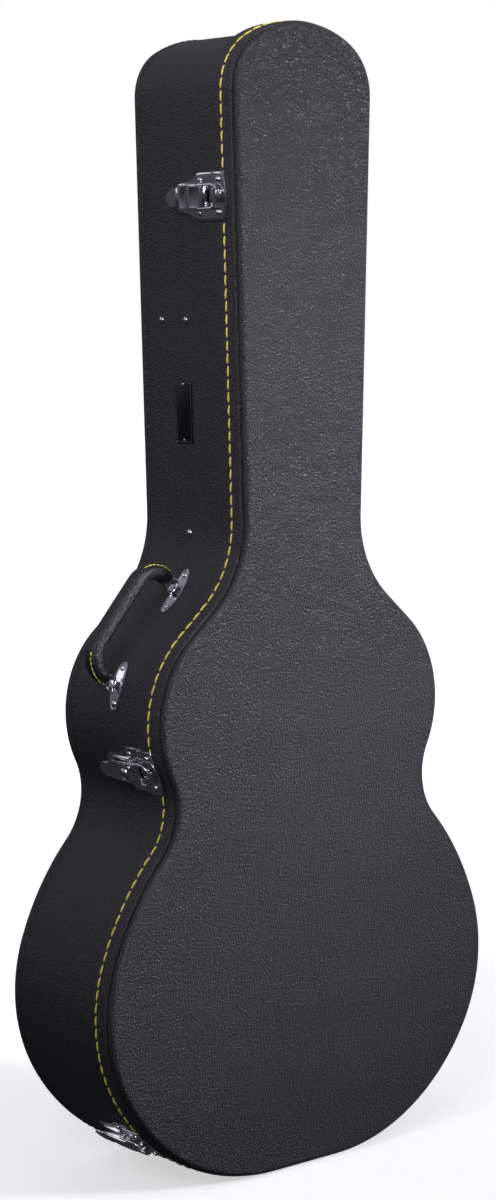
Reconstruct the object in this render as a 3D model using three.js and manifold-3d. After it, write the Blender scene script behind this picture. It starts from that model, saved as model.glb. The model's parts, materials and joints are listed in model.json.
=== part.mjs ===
// Hard shell case for a jumbo acoustic guitar, standing on its foot.
// Millimetres, +Z up. The lid faces -Y, the handle and latches are on the -X side,
// the hinges on the +X side. The origin is on the floor, under the middle of the case.
import * as THREE from 'three';
import { mergeVertices } from 'three/addons/utils/BufferGeometryUtils.js';
import Module from 'manifold-3d';

const wasm = await Module();
wasm.setup();

// ---- Driving dimensions ----
const CASE_DEPTH = 162;
const PANEL = 7; // lid panel with its padding
const BACK_PANEL = 8;
const RIM_DEPTH = 32.5; // side of the lid
const WALL = 5; // plywood side with its covering
const STEP = 3; // the lid stands this far outside the body
const HEAD_STEP = 5; // and this much further over the top of the head
const PANEL_INSET = 1.8;
const GAP = 0.3; // between pieces that touch
const PAD = 10; // foam under the guitar and in the lid
const SIDE_PAD = 8;
const TONGUE = 2.5; // lip inside the body that the lid drops over
const TONGUE_RISE = 8;
const TONGUE_GRIP = 22;

const Y_FRONT = -CASE_DEPTH / 2;
const Y_GROOVE = Y_FRONT + PANEL;
const Y_JOINT = Y_GROOVE + RIM_DEPTH;
const Y_BACK = CASE_DEPTH / 2;
const Y_BACK_PANEL = Y_BACK - BACK_PANEL;
const Y_PAD = Y_BACK_PANEL - PAD - GAP;

// Right half of the lid's outline, from the middle of the foot up to the head, as a chain of
// straight runs and tangent arcs. A negative radius is hollow. The arc over the top closes it.
const HALF_OUTLINE = [
  { run: 42 }, // flat foot
  { radius: 207, turn: 60.3 }, // foot to lower bout
  { radius: 163, turn: 48.7 }, // widest part
  { radius: 278, turn: 23.3 },
  { radius: -63.4, turn: 68.4 }, // waist
  { radius: 113.2, turn: 74.6 }, // upper bout
  { run: 40.3 }, // shoulder
  { radius: -102.9, turn: 50.1 }, // root of the neck
  { run: 404.2 }, // side of the neck and head
  { radius: 60, turn: 60 }, // head corner
];
const FACET_TURN = 9; // degrees of arc per facet

// ---- Colours ----
const vinyl = () => new THREE.MeshStandardMaterial({ color: 0x1d1d1f, roughness: 0.55 });
const chrome = () => new THREE.MeshStandardMaterial({ color: 0xd8dade, roughness: 0.12, metalness: 1 });
const plush = () => new THREE.MeshStandardMaterial({ color: 0x141416, roughness: 0.95 });
const plate = () => new THREE.MeshStandardMaterial({ color: 0x0c0c0e, roughness: 0.3 });

// ---- Outline ----
const radians = THREE.MathUtils.degToRad;

function traceOutline() {
  const segments = [];
  let x = 0;
  let z = 0;
  let heading = 0;
  let start = 0;
  const add = ({ run, radius, turn }) => {
    const bend = radius ? radians(turn) * Math.sign(radius) : 0;
    const length = radius ? Math.abs(radius) * Math.abs(bend) : run;
    segments.push({ x, z, heading, start, length, radius, bend });
    const end = pointOn(segments.at(-1), length);
    x = end.x;
    z = end.z;
    heading = end.heading;
    start += length;
  };
  HALF_OUTLINE.forEach(add);
  const left = Math.PI - heading;
  add({ radius: x / Math.sin(left), turn: THREE.MathUtils.radToDeg(left) });
  return segments;
}

function pointOn(segment, along) {
  const { x, z, heading, radius } = segment;
  if (!radius) {
    return { x: x + along * Math.cos(heading), z: z + along * Math.sin(heading), heading };
  }
  const end = heading + along / radius;
  return {
    x: x + radius * (Math.sin(end) - Math.sin(heading)),
    z: z - radius * (Math.cos(end) - Math.cos(heading)),
    heading: end,
  };
}

const SEGMENTS = traceOutline();
const HALF_LENGTH = SEGMENTS.at(-1).start + SEGMENTS.at(-1).length;

// The point at a distance along the half outline, with its outward normal. side is 1 or -1 in X.
function outlineAt(along, side = 1) {
  const segment = SEGMENTS.findLast((one) => one.start <= along) ?? SEGMENTS[0];
  const { x, z, heading } = pointOn(segment, along - segment.start);
  return { x: side * x, z, nx: side * Math.sin(heading), nz: -Math.cos(heading) };
}

// The body is narrower than the lid by STEP, except on the foot, where both reach the floor,
// and over the head, where it is shorter as well.
const headStep = (at) => HEAD_STEP * Math.max(0, at.nz) ** 4;
const bodyInset = (at) => STEP * (1 - Math.max(0, -at.nz) ** 6) + headStep(at);

// The lid's side is thicker over the head by the same amount, so that it still meets the body.
const rimThickness = (at) => WALL + headStep(at);

const stations = SEGMENTS.flatMap(({ start, length, bend }) => {
  const count = Math.max(1, Math.ceil(Math.abs(bend) / radians(FACET_TURN)));
  return Array.from({ length: count }, (_, i) => start + (length * i) / count);
});
stations.push(HALF_LENGTH);

// A size given as a number or as a function of the place on the outline.
const resolve = (size, at) => (typeof size === 'function' ? size(at) : size);

// Points of one half of the outline, moved inwards by inset.
function halfPoints(inset, side) {
  return stations.map((along) => {
    const at = outlineAt(along, side);
    const by = resolve(inset, at);
    return new THREE.Vector2(at.x - at.nx * by, at.z - at.nz * by);
  });
}

const wholeOutline = (inset) =>
  [...halfPoints(inset, 1), ...halfPoints(inset, -1).slice(1, -1).reverse()];

// ---- Solids ----
const toSolid = (geometry) => {
  const bare = geometry.clone();
  bare.deleteAttribute('normal');
  bare.deleteAttribute('uv');
  const merged = mergeVertices(bare, 1e-4);
  return new wasm.Manifold(
    new wasm.Mesh({
      numProp: 3,
      vertProperties: new Float32Array(merged.attributes.position.array),
      triVerts: new Uint32Array(merged.index.array),
    }),
  );
};

const toGeometry = (solid) => {
  const mesh = solid.getMesh();
  const geometry = new THREE.BufferGeometry();
  geometry.setAttribute('position', new THREE.BufferAttribute(mesh.vertProperties, 3));
  geometry.setIndex(new THREE.BufferAttribute(mesh.triVerts, 1));
  return geometry;
};

const join = (...parts) => toGeometry(parts.map(toSolid).reduce((a, b) => a.add(b)));
const cut = (base, ...tools) =>
  toGeometry(tools.map(toSolid).reduce((a, b) => a.subtract(b), toSolid(base)));

const box = (x0, x1, y0, y1, z0, z1) =>
  new THREE.BoxGeometry(x1 - x0, y1 - y0, z1 - z0).translate(
    (x0 + x1) / 2,
    (y0 + y1) / 2,
    (z0 + z1) / 2,
  );

// A flat shape in X and Z, thickened from y0 to y1. bevel rounds both flat faces' edges.
function slab(shape, y0, y1, bevel = 0, bevelSegments = 2) {
  const geometry = new THREE.ExtrudeGeometry(shape, {
    depth: y1 - y0 - 2 * bevel,
    bevelEnabled: bevel > 0,
    bevelThickness: bevel,
    bevelSize: bevel,
    bevelOffset: -bevel,
    bevelSegments,
    curveSegments: 6,
  });
  return geometry.rotateX(Math.PI / 2).translate(0, y1 - bevel, 0);
}

// A flat shape in X and Y, thickened from z0 to z1.
const plateOf = (shape, z0, z1, curveSegments = 5) =>
  new THREE.ExtrudeGeometry(shape, { depth: z1 - z0, bevelEnabled: false, curveSegments })
    .translate(0, 0, z0);

// A shape in Y and Z, thickened from x0 to x1.
const sideCut = (shape, x0, x1) =>
  new THREE.ExtrudeGeometry(shape, { depth: x1 - x0, bevelEnabled: false, curveSegments: 5 })
    .rotateY(Math.PI / 2)
    .rotateX(Math.PI / 2)
    .translate(x0, 0, 0);

const rod = (radius, x0, x1, sides = 12) =>
  new THREE.CylinderGeometry(radius, radius, x1 - x0, sides)
    .rotateZ(Math.PI / 2)
    .translate((x0 + x1) / 2, 0, 0);

const turned = (profile, sides = 14) =>
  new THREE.LatheGeometry(profile.map(([r, h]) => new THREE.Vector2(r, h)), sides)
    .rotateX(Math.PI / 2);

const assembly = new THREE.Group();

function piece(name, geometry, material, parent = assembly) {
  const mesh = new THREE.Mesh(geometry, material);
  mesh.name = name;
  parent.add(mesh);
  return mesh;
}

// ---- Shell of the body and the lid ----
const SIDES = { left: -1, right: 1 };

// One half of a wall that follows the outline, open at the foot and at the head.
function halfWall(outer, thickness, side, y0, y1) {
  const inner = (at) => resolve(outer, at) + resolve(thickness, at);
  const off = ({ x, y }) => new THREE.Vector2(side * Math.max(side * x, GAP / 2), y);
  const ring = [...halfPoints(outer, side), ...halfPoints(inner, side).reverse()].map(off);
  return slab(new THREE.Shape(ring), y0, y1);
}

for (const [word, side] of Object.entries(SIDES)) {
  const body = halfWall(bodyInset, WALL, side, Y_JOINT + GAP, Y_BACK_PANEL - GAP);
  piece(`body_side_${word}`, body, vinyl());
  const rim = halfWall(0, rimThickness, side, Y_GROOVE + GAP, Y_JOINT - GAP);
  piece(`lid_rim_${word}`, rim, vinyl());
}

// A block larger than the case in X and Z, which trims a panel to one rounded face.
const TRIM = 1400;
const trimBetween = (y0, y1) => box(-TRIM, TRIM, y0, y1, -TRIM, TRIM);

function backPanel() {
  const round = 6;
  const blank = slab(new THREE.Shape(wholeOutline(bodyInset)), Y_BACK_PANEL - round, Y_BACK, round);
  return cut(blank, trimBetween(Y_BACK_PANEL - 2 * round, Y_BACK_PANEL));
}

function lidPanel() {
  const round = 3;
  const outline = new THREE.Shape(wholeOutline(PANEL_INSET));
  const blank = slab(outline, Y_FRONT, Y_GROOVE + round, round);
  return cut(blank, trimBetween(Y_GROOVE, Y_GROOVE + 2 * round));
}

function wholeWall(inset, thickness, y0, y1) {
  const inner = (at) => resolve(inset, at) + thickness;
  const shape = new THREE.Shape(wholeOutline(inset));
  shape.holes.push(new THREE.Path(wholeOutline(inner)));
  return slab(shape, y0, y1);
}

const insideBody = (at) => bodyInset(at) + WALL + GAP;

piece('body_back_panel', backPanel(), vinyl());
piece('lid_panel', lidPanel(), vinyl());
piece(
  'body_tongue',
  wholeWall(insideBody, TONGUE, Y_JOINT - TONGUE_RISE, Y_JOINT + TONGUE_GRIP),
  plush(),
);
piece('body_floor_pad', slab(new THREE.Shape(wholeOutline(insideBody)), Y_PAD,
  Y_BACK_PANEL - GAP), plush());
piece(
  'body_side_pad',
  wholeWall(insideBody, SIDE_PAD, Y_JOINT + TONGUE_GRIP + GAP, Y_PAD - GAP),
  plush(),
);
const insideRim = (at) => rimThickness(at) + GAP;
piece('lid_pad', slab(new THREE.Shape(wholeOutline(insideRim)), Y_GROOVE + GAP,
  Y_GROOVE + PAD), plush());

// ---- Neck rest and accessory compartment ----
const BOX_BOTTOM = 631;
const BOX_TOP = 838;
const BOX_WALL = 6;
const BOX_RIM = -14; // Y of the walls' front edges
const BOX_LID = 5;
const BOX_LID_EDGE = 3; // the lid reaches past both end walls
const PULL = { width: 16, length: 14, thickness: 1.5 };

const PADDED_WALL = STEP + WALL + SIDE_PAD + 3 * GAP;

// Half the free width between the side pads at a height.
function freeHalfWidth(z) {
  const along = stations.reduce((best, one) => {
    const at = outlineAt(one);
    const far = Math.abs(at.z - z);
    return far < best.far && at.nx > 0.5 ? { far, one } : best;
  }, { far: Infinity, one: 0 });
  const at = outlineAt(along.one);
  const slope = at.nz / at.nx;
  return at.x - (z - at.z) * slope - PADDED_WALL;
}

const endWall = (z) => {
  const half = Math.min(freeHalfWidth(z - BOX_WALL / 2), freeHalfWidth(z + BOX_WALL / 2)) - 0.5;
  return box(-half, half, BOX_RIM, Y_PAD - GAP, z - BOX_WALL / 2, z + BOX_WALL / 2);
};
piece('compartment_end_lower', endWall(BOX_BOTTOM), plush());
piece('compartment_end_upper', endWall(BOX_TOP), plush());

const CRADLE = { foot: 600, narrowAt: 620, front: -34, notch: 31, deep: 38 };

function neckCradle() {
  const { foot, front, notch } = CRADLE;
  const head = BOX_BOTTOM - BOX_WALL / 2 - GAP;
  const half = freeHalfWidth(CRADLE.narrowAt) - 1;
  const floor = front + CRADLE.deep;
  const shape = new THREE.Shape();
  shape.moveTo(-half, Y_PAD - GAP);
  shape.lineTo(half, Y_PAD - GAP);
  shape.lineTo(half, front);
  shape.lineTo(notch, front);
  shape.lineTo(notch, floor - notch / 2);
  shape.quadraticCurveTo(notch, floor, 0, floor);
  shape.quadraticCurveTo(-notch, floor, -notch, floor - notch / 2);
  shape.lineTo(-notch, front);
  shape.lineTo(-half, front);
  return plateOf(shape, foot, head);
}
piece('neck_cradle', neckCradle(), plush());

const lidHalf = freeHalfWidth(BOX_BOTTOM + 10) - 2;
const lidZ0 = BOX_BOTTOM - BOX_LID_EDGE;
const lidZ1 = BOX_TOP + BOX_LID_EDGE;
const lidY0 = BOX_RIM - GAP - BOX_LID;
piece('compartment_lid', box(-lidHalf, lidHalf, lidY0, BOX_RIM - GAP, lidZ0, lidZ1), plush());

const pullMiddle = (BOX_BOTTOM + BOX_TOP) / 2;
piece(
  'compartment_pull',
  box(
    -lidHalf + 4,
    -lidHalf + 4 + PULL.length,
    lidY0 - GAP - PULL.thickness,
    lidY0 - GAP,
    pullMiddle - PULL.width / 2,
    pullMiddle + PULL.width / 2,
  ),
  plush(),
);

// ---- Places on the left wall ----
// Along the wall is local X, the depth of the case is local Y, outwards is local Z.
// The group's origin is on the body's surface, at the joint between body and lid.
function wallGroup(along, y = Y_JOINT) {
  const at = outlineAt(along, -1);
  const inset = bodyInset(at);
  const out = new THREE.Vector3(at.nx, 0, at.nz);
  const deep = new THREE.Vector3(0, 1, 0);
  const group = new THREE.Group();
  const basis = new THREE.Matrix4().makeBasis(deep.clone().cross(out), deep, out);
  group.quaternion.setFromRotationMatrix(basis);
  group.position.set(at.x - at.nx * inset, y, at.z - at.nz * inset);
  assembly.add(group);
  group.updateMatrix();
  return group;
}

// Bends a flat geometry, drawn in a wall group's frame, round the wall that it lies on.
function wrap(geometry, along, group, onLid = false) {
  const flat = toGeometry(toSolid(geometry).refineToLength(12));
  const back = group.matrix.clone().invert();
  const spot = new THREE.Vector3();
  const { position } = flat.attributes;
  for (let i = 0; i < position.count; i += 1) {
    spot.fromBufferAttribute(position, i);
    const at = outlineAt(along + spot.x, -1);
    const out = spot.z - (onLid ? 0 : bodyInset(at));
    spot.set(at.x + at.nx * out, group.position.y + spot.y, at.z + at.nz * out);
    spot.applyMatrix4(back);
    position.setXYZ(i, spot.x, spot.y, spot.z);
  }
  return flat;
}

const dome = (radius, height) =>
  turned([[0, 0], [radius, 0], [radius * 0.92, height * 0.5], [radius * 0.55, height * 0.9],
    [0, height]], 9);

// A domed rivet on the left wall: along the outline, at a depth, standing on a surface.
function wallRivet(name, along, y, radius, height, stand, onLid = false) {
  const group = wallGroup(along, y);
  const rise = onLid ? bodyInset(outlineAt(along, -1)) : 0;
  piece(name, dome(radius, height).translate(0, 0, rise + stand), chrome(), group);
}

// ---- Draw latches ----
const LATCH = {
  half: 23, // half the plate's width
  front: -24.5,
  joint: 0.9, // each plate's distance from the joint
  shoulder: 26,
  end: 55,
  endHalf: 13,
  sheet: 1.4,
};
const LEVER_PIVOT = { y: 5, z: 6 };
const BAIL_PIVOT = { y: 12, z: 6 };
const LEVER_HALF = 9.6;
const LEVER_TOP = 3.1; // underside of the lever's top above its pivot
const LEVER_TAIL = 47;
const LOCK_FROM_PIVOT = 15;
const EAR = { inner: 5.9, outer: 7.5, round: 2.6, hole: 1.65 };
const KEEPER = { half: 6, front: -14.5, back: -8.5, low: 0.6, high: 3.9 };
const RIVET_SPREAD = 15.5;

function basePlate(along, group) {
  const { half, joint, shoulder, end, endHalf, sheet } = LATCH;
  const shape = new THREE.Shape();
  shape.moveTo(-half, joint);
  shape.lineTo(half, joint);
  shape.lineTo(half, shoulder - 3);
  shape.lineTo(half - 4, shoulder);
  shape.lineTo(endHalf + 2, end - 12);
  shape.lineTo(endHalf, end - 3);
  shape.lineTo(endHalf - 3, end);
  shape.lineTo(-endHalf + 3, end);
  shape.lineTo(-endHalf, end - 3);
  shape.lineTo(-endHalf - 2, end - 12);
  shape.lineTo(-half + 4, shoulder);
  shape.lineTo(-half, shoulder - 3);
  const sheetMetal = wrap(plateOf(shape, GAP, GAP + sheet), along, group);
  const earShape = new THREE.Shape();
  earShape.moveTo(1.6, 1);
  earShape.lineTo(9.4, 1);
  earShape.lineTo(8, LEVER_PIVOT.z + 1);
  earShape.absarc(LEVER_PIVOT.y, LEVER_PIVOT.z, EAR.round, 0.3, Math.PI - 0.3, false);
  const hole = new THREE.Path();
  hole.absarc(LEVER_PIVOT.y, LEVER_PIVOT.z, EAR.hole, 0, Math.PI * 2, true);
  earShape.holes.push(hole);
  const ear = (x0, x1) => sideCut(earShape, x0, x1);
  return join(sheetMetal, ear(EAR.inner, EAR.outer), ear(-EAR.outer, -EAR.inner));
}

function catchPlate(along, group) {
  const { half, front, joint, sheet } = LATCH;
  const shape = new THREE.Shape();
  shape.moveTo(-half, -joint);
  shape.lineTo(-half, front + 5);
  shape.quadraticCurveTo(0, front - 5, half, front + 5);
  shape.lineTo(half, -joint);
  const { half: wide, front: nose, back, low, high } = KEEPER;
  const keeper = box(-wide, wide, nose, back, GAP + low, GAP + high);
  return wrap(join(plateOf(shape, GAP, GAP + sheet), keeper), along, group, true);
}

function leverShape(tail) {
  const { y, z } = LEVER_PIVOT;
  const shape = new THREE.Shape();
  const top = z + LEVER_TOP + LATCH.sheet;
  shape.moveTo(y - 1, top);
  shape.absarc(y, z, 3.2, Math.PI * 0.75, Math.PI * 1.5, false);
  shape.lineTo(y + 18, z - 2);
  shape.lineTo(tail - 6, z + 1.2);
  shape.lineTo(tail, top - LATCH.sheet);
  shape.lineTo(tail, top);
  return shape;
}

function lever(locking) {
  const { y, z } = LEVER_PIVOT;
  const tail = LEVER_TAIL;
  const flange = leverShape(tail);
  const inner = LEVER_HALF - 1.4;
  const under = z + LEVER_TOP;
  const over = under + LATCH.sheet;
  const top = box(-LEVER_HALF, LEVER_HALF, y - 1, tail, under, over);
  const tab = new THREE.Shape();
  tab.moveTo(-8.3, tail - 1);
  tab.lineTo(8.3, tail - 1);
  tab.lineTo(8.3, tail + 5);
  tab.absarc(0, tail + 5, 8.3, 0, Math.PI, false);
  const pin = rod(1.25, -LEVER_HALF + 0.5, LEVER_HALF - 0.5).translate(0, y, z);
  const studs = [-1, 1].map((side) =>
    rod(1.3, side > 0 ? LEVER_HALF - 0.5 : -LEVER_HALF - 2.9,
      side > 0 ? LEVER_HALF + 2.9 : -LEVER_HALF + 0.5)
      .translate(0, BAIL_PIVOT.y, BAIL_PIVOT.z));
  const parts = [
    top,
    sideCut(flange, inner, LEVER_HALF),
    sideCut(flange, -LEVER_HALF, -inner),
    plateOf(tab, under, over),
    pin,
    ...studs,
  ];
  if (locking) {
    parts.push(box(-9, 9, y + 4, y + 26, under + 1, over + 3.2));
  }
  const blank = join(...parts);
  if (!locking) {
    return blank;
  }
  const socket = turned([[0, 0], [4.8, 0], [4.8, 12], [0, 12]], 18);
  return cut(blank, socket.translate(0, y + LOCK_FROM_PIVOT, under + 1));
}

// A loop round the front of the lever, with a bar that reaches over the keeper.
function bail() {
  const inner = LEVER_HALF + 0.6;
  const outer = inner + 1.8;
  const front = -4;
  const { y, z } = BAIL_PIVOT;
  const shape = new THREE.Shape();
  shape.moveTo(outer, y + 3);
  shape.lineTo(outer, front);
  shape.absarc(0, front, outer, 0, -Math.PI, true);
  shape.lineTo(-outer, y + 3);
  shape.lineTo(-inner, y + 3);
  shape.lineTo(-inner, front);
  shape.absarc(0, front, inner, -Math.PI, 0, false);
  shape.lineTo(inner, y + 3);
  const loop = plateOf(shape, z + 1.7, z + 3.5);
  const arm = (x0, x1) => box(x0, x1, y - 3, y + 3, z - 2.6, z + 3);
  const bar = box(-5, 5, front - outer - 3, front - outer + 1.5, z + 1.7, z + 3.5);
  const blank = join(loop, bar, arm(inner, outer), arm(-outer, -inner));
  return cut(blank, rod(1.75, -outer - 1, outer + 1).translate(0, y, z));
}

const lockCylinder = () => {
  const barrel = turned([[0, 0], [4.4, 0], [4.4, 3.6], [3.9, 4.1], [0, 4.1]], 18);
  const keyhole = box(-0.6, 0.6, -2.4, 2.4, 2.5, 6);
  const floor = LEVER_PIVOT.z + LEVER_TOP + 1;
  return cut(barrel, keyhole).translate(0, LEVER_PIVOT.y + LOCK_FROM_PIVOT, floor + GAP);
};

const LATCHES = {
  top: { along: 1172, locking: false },
  middle: { along: 594, locking: true },
  bottom: { along: 193, locking: false },
};

for (const [word, { along, locking }] of Object.entries(LATCHES)) {
  const name = `latch_${word}`;
  const group = wallGroup(along);
  piece(`${name}_base`, basePlate(along, group), chrome(), group);
  piece(`${name}_catch`, catchPlate(along, group), chrome(), group);
  piece(`${name}_lever`, lever(locking), chrome(), group);
  piece(`${name}_bail`, bail(), chrome(), group);
  if (locking) {
    piece(`${name}_lock`, lockCylinder(), chrome(), group);
  }
  const stand = LATCH.sheet + 3 * GAP;
  for (const [end, u] of [['upper', RIVET_SPREAD], ['lower', -RIVET_SPREAD]]) {
    wallRivet(`${name}_rivet_${end}`, along + u, Y_JOINT + 19, 3, 1.8, stand);
    wallRivet(`${name}_catch_rivet_${end}`, along + u, Y_JOINT - 11.5, 3, 1.8, stand, true);
  }
}

// ---- Handle ----
const HANDLE = { lower: 675, upper: 789, y: -2, bar: 5.2, wire: 1.3, loopHalf: 8.6 };
const GRIP = { end: 13.5, out: 50, thick: 15.5, wide: 20, corner: 31, past: 10, round: 4.5 };
const FERRULE = { radius: 2.4, length: 5 };
const BRACKET = { half: 25, wide: 7.5, sheet: 1.5, screw: 18 };

const deepAxis = new THREE.Vector3(0, 1, 0);

// Centre of a bracket's bar, on the left wall at the handle's depth.
function barCentre(along) {
  const at = outlineAt(along, -1);
  const rise = HANDLE.bar - bodyInset(at);
  return new THREE.Vector3(at.x + at.nx * rise, HANDLE.y, at.z + at.nz * rise);
}

const barLow = barCentre(HANDLE.lower);
const barHigh = barCentre(HANDLE.upper);
const chord = barHigh.clone().sub(barLow);
const chordUp = chord.clone().normalize();
const chordOut = chordUp.clone().cross(deepAxis);
const handleGroup = new THREE.Group();
handleGroup.quaternion.setFromRotationMatrix(
  new THREE.Matrix4().makeBasis(chordUp, deepAxis, chordOut),
);
handleGroup.position.copy(barLow).addScaledVector(chord, 0.5);
assembly.add(handleGroup);
const barAt = chord.length() / 2;

function grip() {
  const outer = barAt + GRIP.past;
  const inner = outer - GRIP.thick;
  const top = GRIP.out;
  const under = top - GRIP.thick;
  const bend = GRIP.corner - GRIP.thick;
  const shape = new THREE.Shape();
  shape.moveTo(outer, GRIP.end);
  shape.absarc(outer - GRIP.corner, top - GRIP.corner, GRIP.corner, 0, Math.PI / 2, false);
  shape.absarc(-outer + GRIP.corner, top - GRIP.corner, GRIP.corner, Math.PI / 2, Math.PI, false);
  shape.lineTo(-outer, GRIP.end);
  shape.lineTo(-inner, GRIP.end);
  shape.absarc(-inner + bend, under - bend, bend, Math.PI, Math.PI / 2, true);
  shape.absarc(inner - bend, under - bend, bend, Math.PI / 2, 0, true);
  shape.lineTo(inner, GRIP.end);
  return slab(shape, -GRIP.wide / 2, GRIP.wide / 2, GRIP.round, 2);
}

// A round wire from one point to another in the handle's own X and Z.
function wire([x0, z0], [x1, z1]) {
  const from = new THREE.Vector3(x0, 0, z0);
  const run = new THREE.Vector3(x1, 0, z1).sub(from);
  const turn = new THREE.Quaternion().setFromUnitVectors(deepAxis, run.clone().normalize());
  const middle = from.addScaledVector(run, 0.5);
  return new THREE.CylinderGeometry(HANDLE.wire, HANDLE.wire, run.length() + HANDLE.wire, 8)
    .applyQuaternion(turn)
    .translate(middle.x, 0, middle.z);
}

// A wire loop from a bracket, whose bar lies along the wall there, up to two ferrules at the
// end of the grip.
function handleLoop(x, gripX, along) {
  const at = outlineAt(along, -1);
  const tangent = new THREE.Vector3(-at.nz, 0, at.nx).multiplyScalar(-1);
  const across = HANDLE.loopHalf * tangent.dot(chordUp);
  const rise = HANDLE.loopHalf * tangent.dot(chordOut);
  const half = HANDLE.loopHalf - 1;
  const top = GRIP.end - GAP;
  const low = [x - across, -rise];
  const high = [x + across, rise];
  const ferrule = (place) =>
    new THREE.CylinderGeometry(FERRULE.radius, FERRULE.radius, FERRULE.length, 10)
      .rotateX(Math.PI / 2)
      .translate(place, 0, top - FERRULE.length / 2);
  const [from, to] = [gripX - half + 2, gripX + half - 2];
  return join(wire(low, high), wire(low, [from, top - 2]), wire(high, [to, top - 2]),
    ferrule(from), ferrule(to));
}

function bracket(along, group) {
  const { half, wide, sheet } = BRACKET;
  const boat = new THREE.Shape();
  boat.moveTo(-half, 0);
  boat.quadraticCurveTo(-half, -wide, -half + 14, -wide);
  boat.lineTo(half - 14, -wide);
  boat.quadraticCurveTo(half, -wide, half, 0);
  boat.quadraticCurveTo(half, wide, half - 14, wide);
  boat.lineTo(-half + 14, wide);
  boat.quadraticCurveTo(-half, wide, -half, 0);
  const arch = new THREE.Shape();
  const outer = [[-6, 1], [-5.4, 7.4], [-4, 9.1], [4, 9.1], [5.4, 7.4], [6, 1]];
  const inner = [[4.4, 1], [4.1, 6.9], [3.3, 7.7], [-3.3, 7.7], [-4.1, 6.9], [-4.4, 1]];
  arch.setFromPoints([...outer, ...inner].map(([a, b]) => new THREE.Vector2(a, b)));
  return join(wrap(plateOf(boat, GAP, GAP + sheet), along, group), sideCut(arch, -3.6, 3.6));
}

piece('handle_grip', grip(), vinyl(), handleGroup);
const gripEnd = barAt + GRIP.past - GRIP.thick / 2;
for (const [word, side] of [['lower', -1], ['upper', 1]]) {
  const along = HANDLE[word];
  const loop = handleLoop(side * barAt, side * gripEnd, along);
  piece(`handle_loop_${word}`, loop, chrome(), handleGroup);
  const group = wallGroup(along, HANDLE.y);
  piece(`handle_bracket_${word}`, bracket(along, group), chrome(), group);
  for (const [end, u] of [['a', -BRACKET.screw], ['b', BRACKET.screw]]) {
    wallRivet(`handle_screw_${word}_${end}`, along + u, HANDLE.y, 2.8, 1.6,
      BRACKET.sheet + 3 * GAP);
  }
}

// ---- Badge and the rivets of the inner compartment ----
const BADGE = { along: 966, y: 12.5, length: 60, width: 25, sheet: 1 };

function badge() {
  const { length, width, sheet } = BADGE;
  const blank = box(-length / 2, length / 2, -width / 2, width / 2, GAP, GAP + sheet);
  const pins = [-1, 1].map((side) =>
    dome(1.6, 1).translate((side * (length - 6)) / 2, 0, GAP + sheet - 0.1));
  return join(blank, ...pins);
}
piece('badge', badge(), plate(), wallGroup(BADGE.along, BADGE.y));

const BOX_RIVETS = { upper_back: [1055, 44], upper_front: [1055, 6.5], lower: [849, 8] };
for (const [word, [along, y]] of Object.entries(BOX_RIVETS)) {
  wallRivet(`compartment_rivet_${word}`, along, y, 3.6, 2, 2 * GAP);
}

// ---- Lid hinges on the right ----
const HINGE = {
  knuckle: 2.7,
  pin: 1.1,
  bore: 1.45,
  axis: 3.1, // the pin's distance outside the lid
  leaf: 22,
  sheet: 1.4,
  clear: 3.6,
};
const HINGE_LENGTH = { lower: 44, upper: 34 };

// Where a line leaning by an angle touches the right side between two heights.
function touch(lean, low, high) {
  const out = new THREE.Vector2(Math.cos(lean), Math.sin(lean));
  let best = { reach: -Infinity };
  for (let along = 0; along < HALF_LENGTH; along += 0.5) {
    const at = outlineAt(along);
    const reach = at.x * out.x + at.z * out.y;
    if (at.z > low && at.z < high && reach > best.reach) {
      best = { reach, x: at.x, z: at.z };
    }
  }
  return best;
}

// The one straight line that touches both the lower bout and the head.
function hingeLean() {
  let [low, high] = [0, radians(25)];
  for (let i = 0; i < 24; i += 1) {
    const middle = (low + high) / 2;
    const ahead = touch(middle, 900, 1120).reach - touch(middle, 0, 400).reach;
    [low, high] = ahead > 0 ? [low, middle] : [middle, high];
  }
  return (low + high) / 2;
}

const lean = hingeLean();
const hingeOut = new THREE.Vector3(Math.cos(lean), 0, Math.sin(lean));
const hingeDown = new THREE.Vector3(Math.sin(lean), 0, -Math.cos(lean));
const HINGE_AT = { lower: touch(lean, 0, 400), upper: touch(lean, 900, 1120) };

function knuckle(x0, x1) {
  const bore = rod(HINGE.bore, x0 - 1, x1 + 1, 14).translate(0, 0, HINGE.axis);
  return [rod(HINGE.knuckle, x0, x1, 14).translate(0, 0, HINGE.axis), bore];
}

function lidLeaf(length) {
  const third = length / 6 - 0.4;
  const { leaf, sheet, clear } = HINGE;
  const [barrel, bore] = knuckle(-third, third);
  const flat = box(-length / 2, length / 2, -leaf, -clear, GAP, GAP + sheet);
  return cut(join(flat, box(-third, third, -clear - 1, 0, GAP, GAP + sheet), barrel), bore);
}

function bodyLeaf(length) {
  const { leaf, sheet, clear, axis } = HINGE;
  const down = GAP - STEP;
  const web = new THREE.Shape();
  web.moveTo(leaf, down);
  web.lineTo(leaf, down + sheet);
  web.lineTo(clear + 0.8, down + sheet);
  web.lineTo(1.4, axis + 1.8);
  web.lineTo(0.8, axis - 2.2);
  web.lineTo(clear - 0.6, down);
  const ends = [[-length / 2, -length / 6], [length / 6, length / 2]];
  const flat = box(-length / 2, length / 2, clear, leaf, down, down + sheet);
  const barrels = ends.map(([x0, x1]) => knuckle(x0, x1));
  const webs = ends.map(([x0, x1]) => sideCut(web, x0, x1));
  const solid = join(flat, ...webs, ...barrels.map(([barrel]) => barrel));
  return cut(solid, ...barrels.map(([, bore]) => bore));
}

function hingePin(length) {
  const end = length / 2 + GAP;
  const cap = [rod(2.2, -end - 1.2, -end, 14), rod(2.2, end, end + 1.2, 14)];
  return join(rod(HINGE.pin, -end - 1, end + 1, 14), ...cap).translate(0, 0, HINGE.axis);
}

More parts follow.
